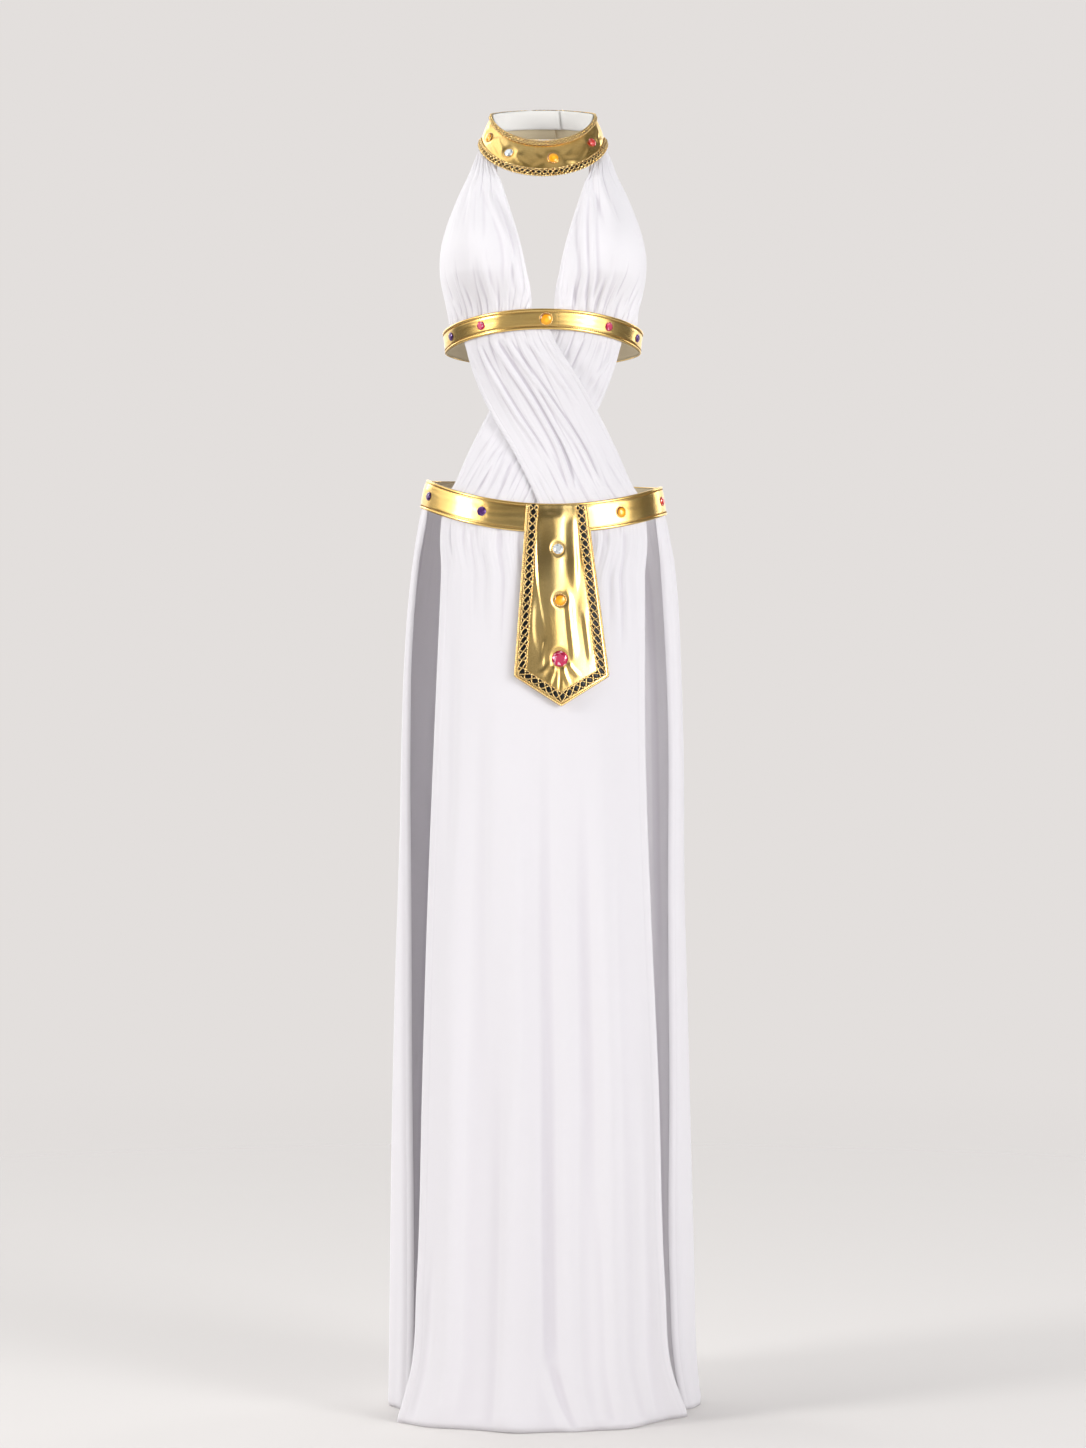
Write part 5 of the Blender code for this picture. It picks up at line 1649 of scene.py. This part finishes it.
def makeTabBraid():
    strip = stripOf(tabStrip(tab["braidInset"]), 0, 1)
    edge = stripOf(tabStrip((0.0, tab["braidInset"][0])), 0, 1)
    shapes = braidCords(strip, tabBraid)
    radius, side, lift, steps = tabBraid["binding"]
    shapes.append(cordOn(edge, lambda p: (side + 0 * p, lift + 0 * p), radius, steps, tabBraid["pitch"]))
    addShapes("tabBraid", shapes, "goldCord", ["tab_braid"])
    ribbon = ribbonOn(strip, tabBraid["pitch"], braidFoot, tabBraid["radius"], tabBraid["ribbonSides"])
    made = addShapes("tabRibbon", [ribbon], "blackRibbon")
    addWall(made, ribbonWall, -1)


# a short upright seam beside the band's middle stone: degrees round, lean, and its run down the band
bandSeam = {"angle": 9.0, "lean": 0.006, "start": 0.16, "run": 0.68, "sunk": 0.0001}
# the row across the tab's top: how far it stays from the sides, and how far below the top edge
tabRow = {"inset": 0.013, "drop": 0.0045, "width": 0.001, "long": 0.0026, "radius": 0.00034, "sunk": 0.0001}


def makeStitches():
    shapes = []
    pitch, long, radius = stitch["pitch"], stitch["long"], stitch["radius"]
    for ring, part in ((bandRing, bustBand), (beltRing, belt)):
        halfLap = halfLapLength / part["backRadius"]
        strip = stripOf(ring, -math.pi + 0.5 * halfLap, math.pi + 0.9 * halfLap, 1600)
        high = np.linalg.norm(strip["inner"][0] - strip["outer"][0])
        lift = foilWall / 2 - stitch["sunk"]
        for side in (stitchInset / high, 1 - stitchInset / high):
            shapes.append(stitchesOn(strip, side, lift, pitch, long, radius, stitch["slant"]))

    def seam(across, down):
        angle = np.radians(bandSeam["angle"]) - bandSeam["lean"] * down
        return bandRing(angle, bandSeam["start"] + bandSeam["run"] * across)
    lift = foilWall / 2 - bandSeam["sunk"]
    shapes.append(stitchesOn(stripOf(seam, 0, 1, 60), 0.5, lift, pitch, long, radius))

    sides = tabStrip((tabRow["inset"], tabRow["inset"]))
    first, last = sides(np.array([0.0, 1.0]), np.zeros(2))[:, 0]

    def row(across, down):
        height = tab["outline"][0, 1] - tabRow["drop"] - tabRow["width"] * down
        return tabPlace(first + (last - first) * across, height)
    lift = foilWall / 2 - tabRow["sunk"]
    shapes.append(stitchesOn(stripOf(row, 0, 1), 0.5, lift, pitch, tabRow["long"], tabRow["radius"]))
    addShapes("goldStitches", shapes, "goldThread")


makeCollarBraids()
makeTabBraid()
makeStitches()
print("braids and stitches made")


# Stones

gemCut = {
    # radius, height and half steps of turn, from the girdle up to the table
    "rings": ((1.0, 0.0, 0), (1.0, 0.10, 0), (0.80, 0.27, 1), (0.52, 0.40, 0)),
    "sides": 12,
    "domeSides": 24,
    "domeRings": 7,
    "domeHeight": 0.45,
    "domeFoot": 0.06,
    "rim": 0.09,
    "spin": 0.3,
    # painted highlight: the table facet's tone
    "tableTone": 0.752,  # a little brighter than the main colour
}


def gemShape(radius, cut):
    # rings x = r cos t, y = r sin t joined up to a flat table, or a dome r = cos e, z = height sin e
    sides = gemCut["sides"] if cut == "faceted" else gemCut["domeSides"]
    if cut == "faceted":
        rows = np.array(gemCut["rings"])
    else:
        rise = np.linspace(0, math.pi / 2, gemCut["domeRings"] + 1)[:-1]
        rows = np.stack([np.cos(rise), gemCut["domeHeight"] * np.sin(rise), 0 * rise], axis=1)
        rows = np.concatenate([[(1.0, 0.0, 0)], rows + (0, gemCut["domeFoot"], 0)])
    turn = 2 * math.pi * (np.arange(sides)[None, :] + rows[:, 2:3] / 2) / sides
    x, y = rows[:, 0:1] * np.cos(turn), rows[:, 0:1] * np.sin(turn)
    places = np.stack([x, y, np.broadcast_to(rows[:, 1:2], x.shape)], axis=-1).reshape(-1, 3) * radius
    grid = gridFaces(len(rows), sides, wrapped=True)[:, ::-1]
    faces = [np.concatenate([grid[:, [0, 1, 2]], grid[:, [0, 2, 3]]]), np.arange(sides)[None, ::-1]]
    faces.append((len(places) - sides + np.arange(sides))[None, :])
    return places, faces, places[:, :2] / radius


def paintFacetReflections(mesh, seed):
    # a second map that holds one random tone for all the corners of a facet, which picks its painted shade or
    # painted glint; the table, the last face, gets a painted highlight
    sides = np.empty(len(mesh.polygons), np.int32)
    mesh.polygons.foreach_get("loop_total", sides)
    tone = np.random.default_rng(seed).uniform(0, 1, len(sides))
    tone[-1] = gemCut["tableTone"]
    tone = np.repeat(tone, sides)
    layer = mesh.uv_layers.new(name="facet")
    layer.data.foreach_set("uv", np.stack([tone, tone], axis=1).astype(np.float32).ravel())


def rimShape(radius, thick, sides=30, corners=6):
    # a torus lying flat: (R + r cos t) round the middle and r sin t up
    around, tilt = np.meshgrid(evenTurns(sides), evenTurns(corners))
    out = radius + thick * np.cos(tilt)
    places = np.stack([out * np.cos(around), out * np.sin(around), thick * (0.6 + np.sin(tilt))], axis=-1)
    index = np.arange(sides * corners).reshape(corners, sides)
    index = np.concatenate([index, index[:1]])
    index = np.concatenate([index, index[:, :1]], axis=1)
    corner = (index[:-1, :-1], index[:-1, 1:], index[1:, 1:], index[1:, :-1])
    faces = np.stack(corner, axis=-1).reshape(-1, 4)
    uv = np.stack([around * radius, tilt / 6.28], axis=-1).reshape(-1, 2)
    return places.reshape(-1, 3), [faces], uv


def seated(shape, spot, normal, spin=0.0):
    # turned so that +Z is the foil's normal, then moved to its seat
    x = np.cross((0.0, 0.0, 1.0), normal)
    x /= np.linalg.norm(x)
    y = np.cross(normal, x)
    x, y = x * math.cos(spin) + y * math.sin(spin), y * math.cos(spin) - x * math.sin(spin)
    places, faces, uv = shape
    return places @ np.stack([x, y, normal]) + spot, faces, uv


def makeStones(prefix, surface, stones):
    rims = []
    for number, (at, down, radius, colour) in enumerate(stones, 1):
        place = (np.float64(at), np.float64(down))
        if prefix != "tab":
            place = (np.radians(place[0]), place[1])
        spot, normal = surface(*place), outward(surface, *place)
        if prefix == "tab":
            normal = -normal  # its second way runs up, and that of the rings runs down
        cut = "dome" if colour == "amber" else "faceted"
        seat = spot + normal * (foilWall / 2 + 0.0001)
        places, faces, uv = seated(gemShape(radius, cut), seat, normal, gemCut["spin"] * number)
        name = f"{prefix}_stone_{number}"
        made = addMesh(prefix + "Stone" + str(number), places, faces, uv, rounded=cut == "dome")
        if cut == "dome":
            made.data.set_sharp_from_angle(angle=math.radians(50))
        else:
            paintFacetReflections(made.data, 7 * number + len(prefix))
        finishPiece(made, colour + "Gem", [name])
        if colour in ("amber", "clear"):
            rims.append(seated(rimShape(radius * 1.02, radius * gemCut["rim"]), seat, normal))
    if rims:
        addShapes(prefix + "StoneRims", rims, "goldCord")


makeStones("collar", collarRing, collar["stones"])
makeStones("bust_band", bandRing, bustBand["stones"])
makeStones("belt", beltRing, belt["stones"])
makeStones("tab", tabPlace, tab["stones"])
print("stones made")
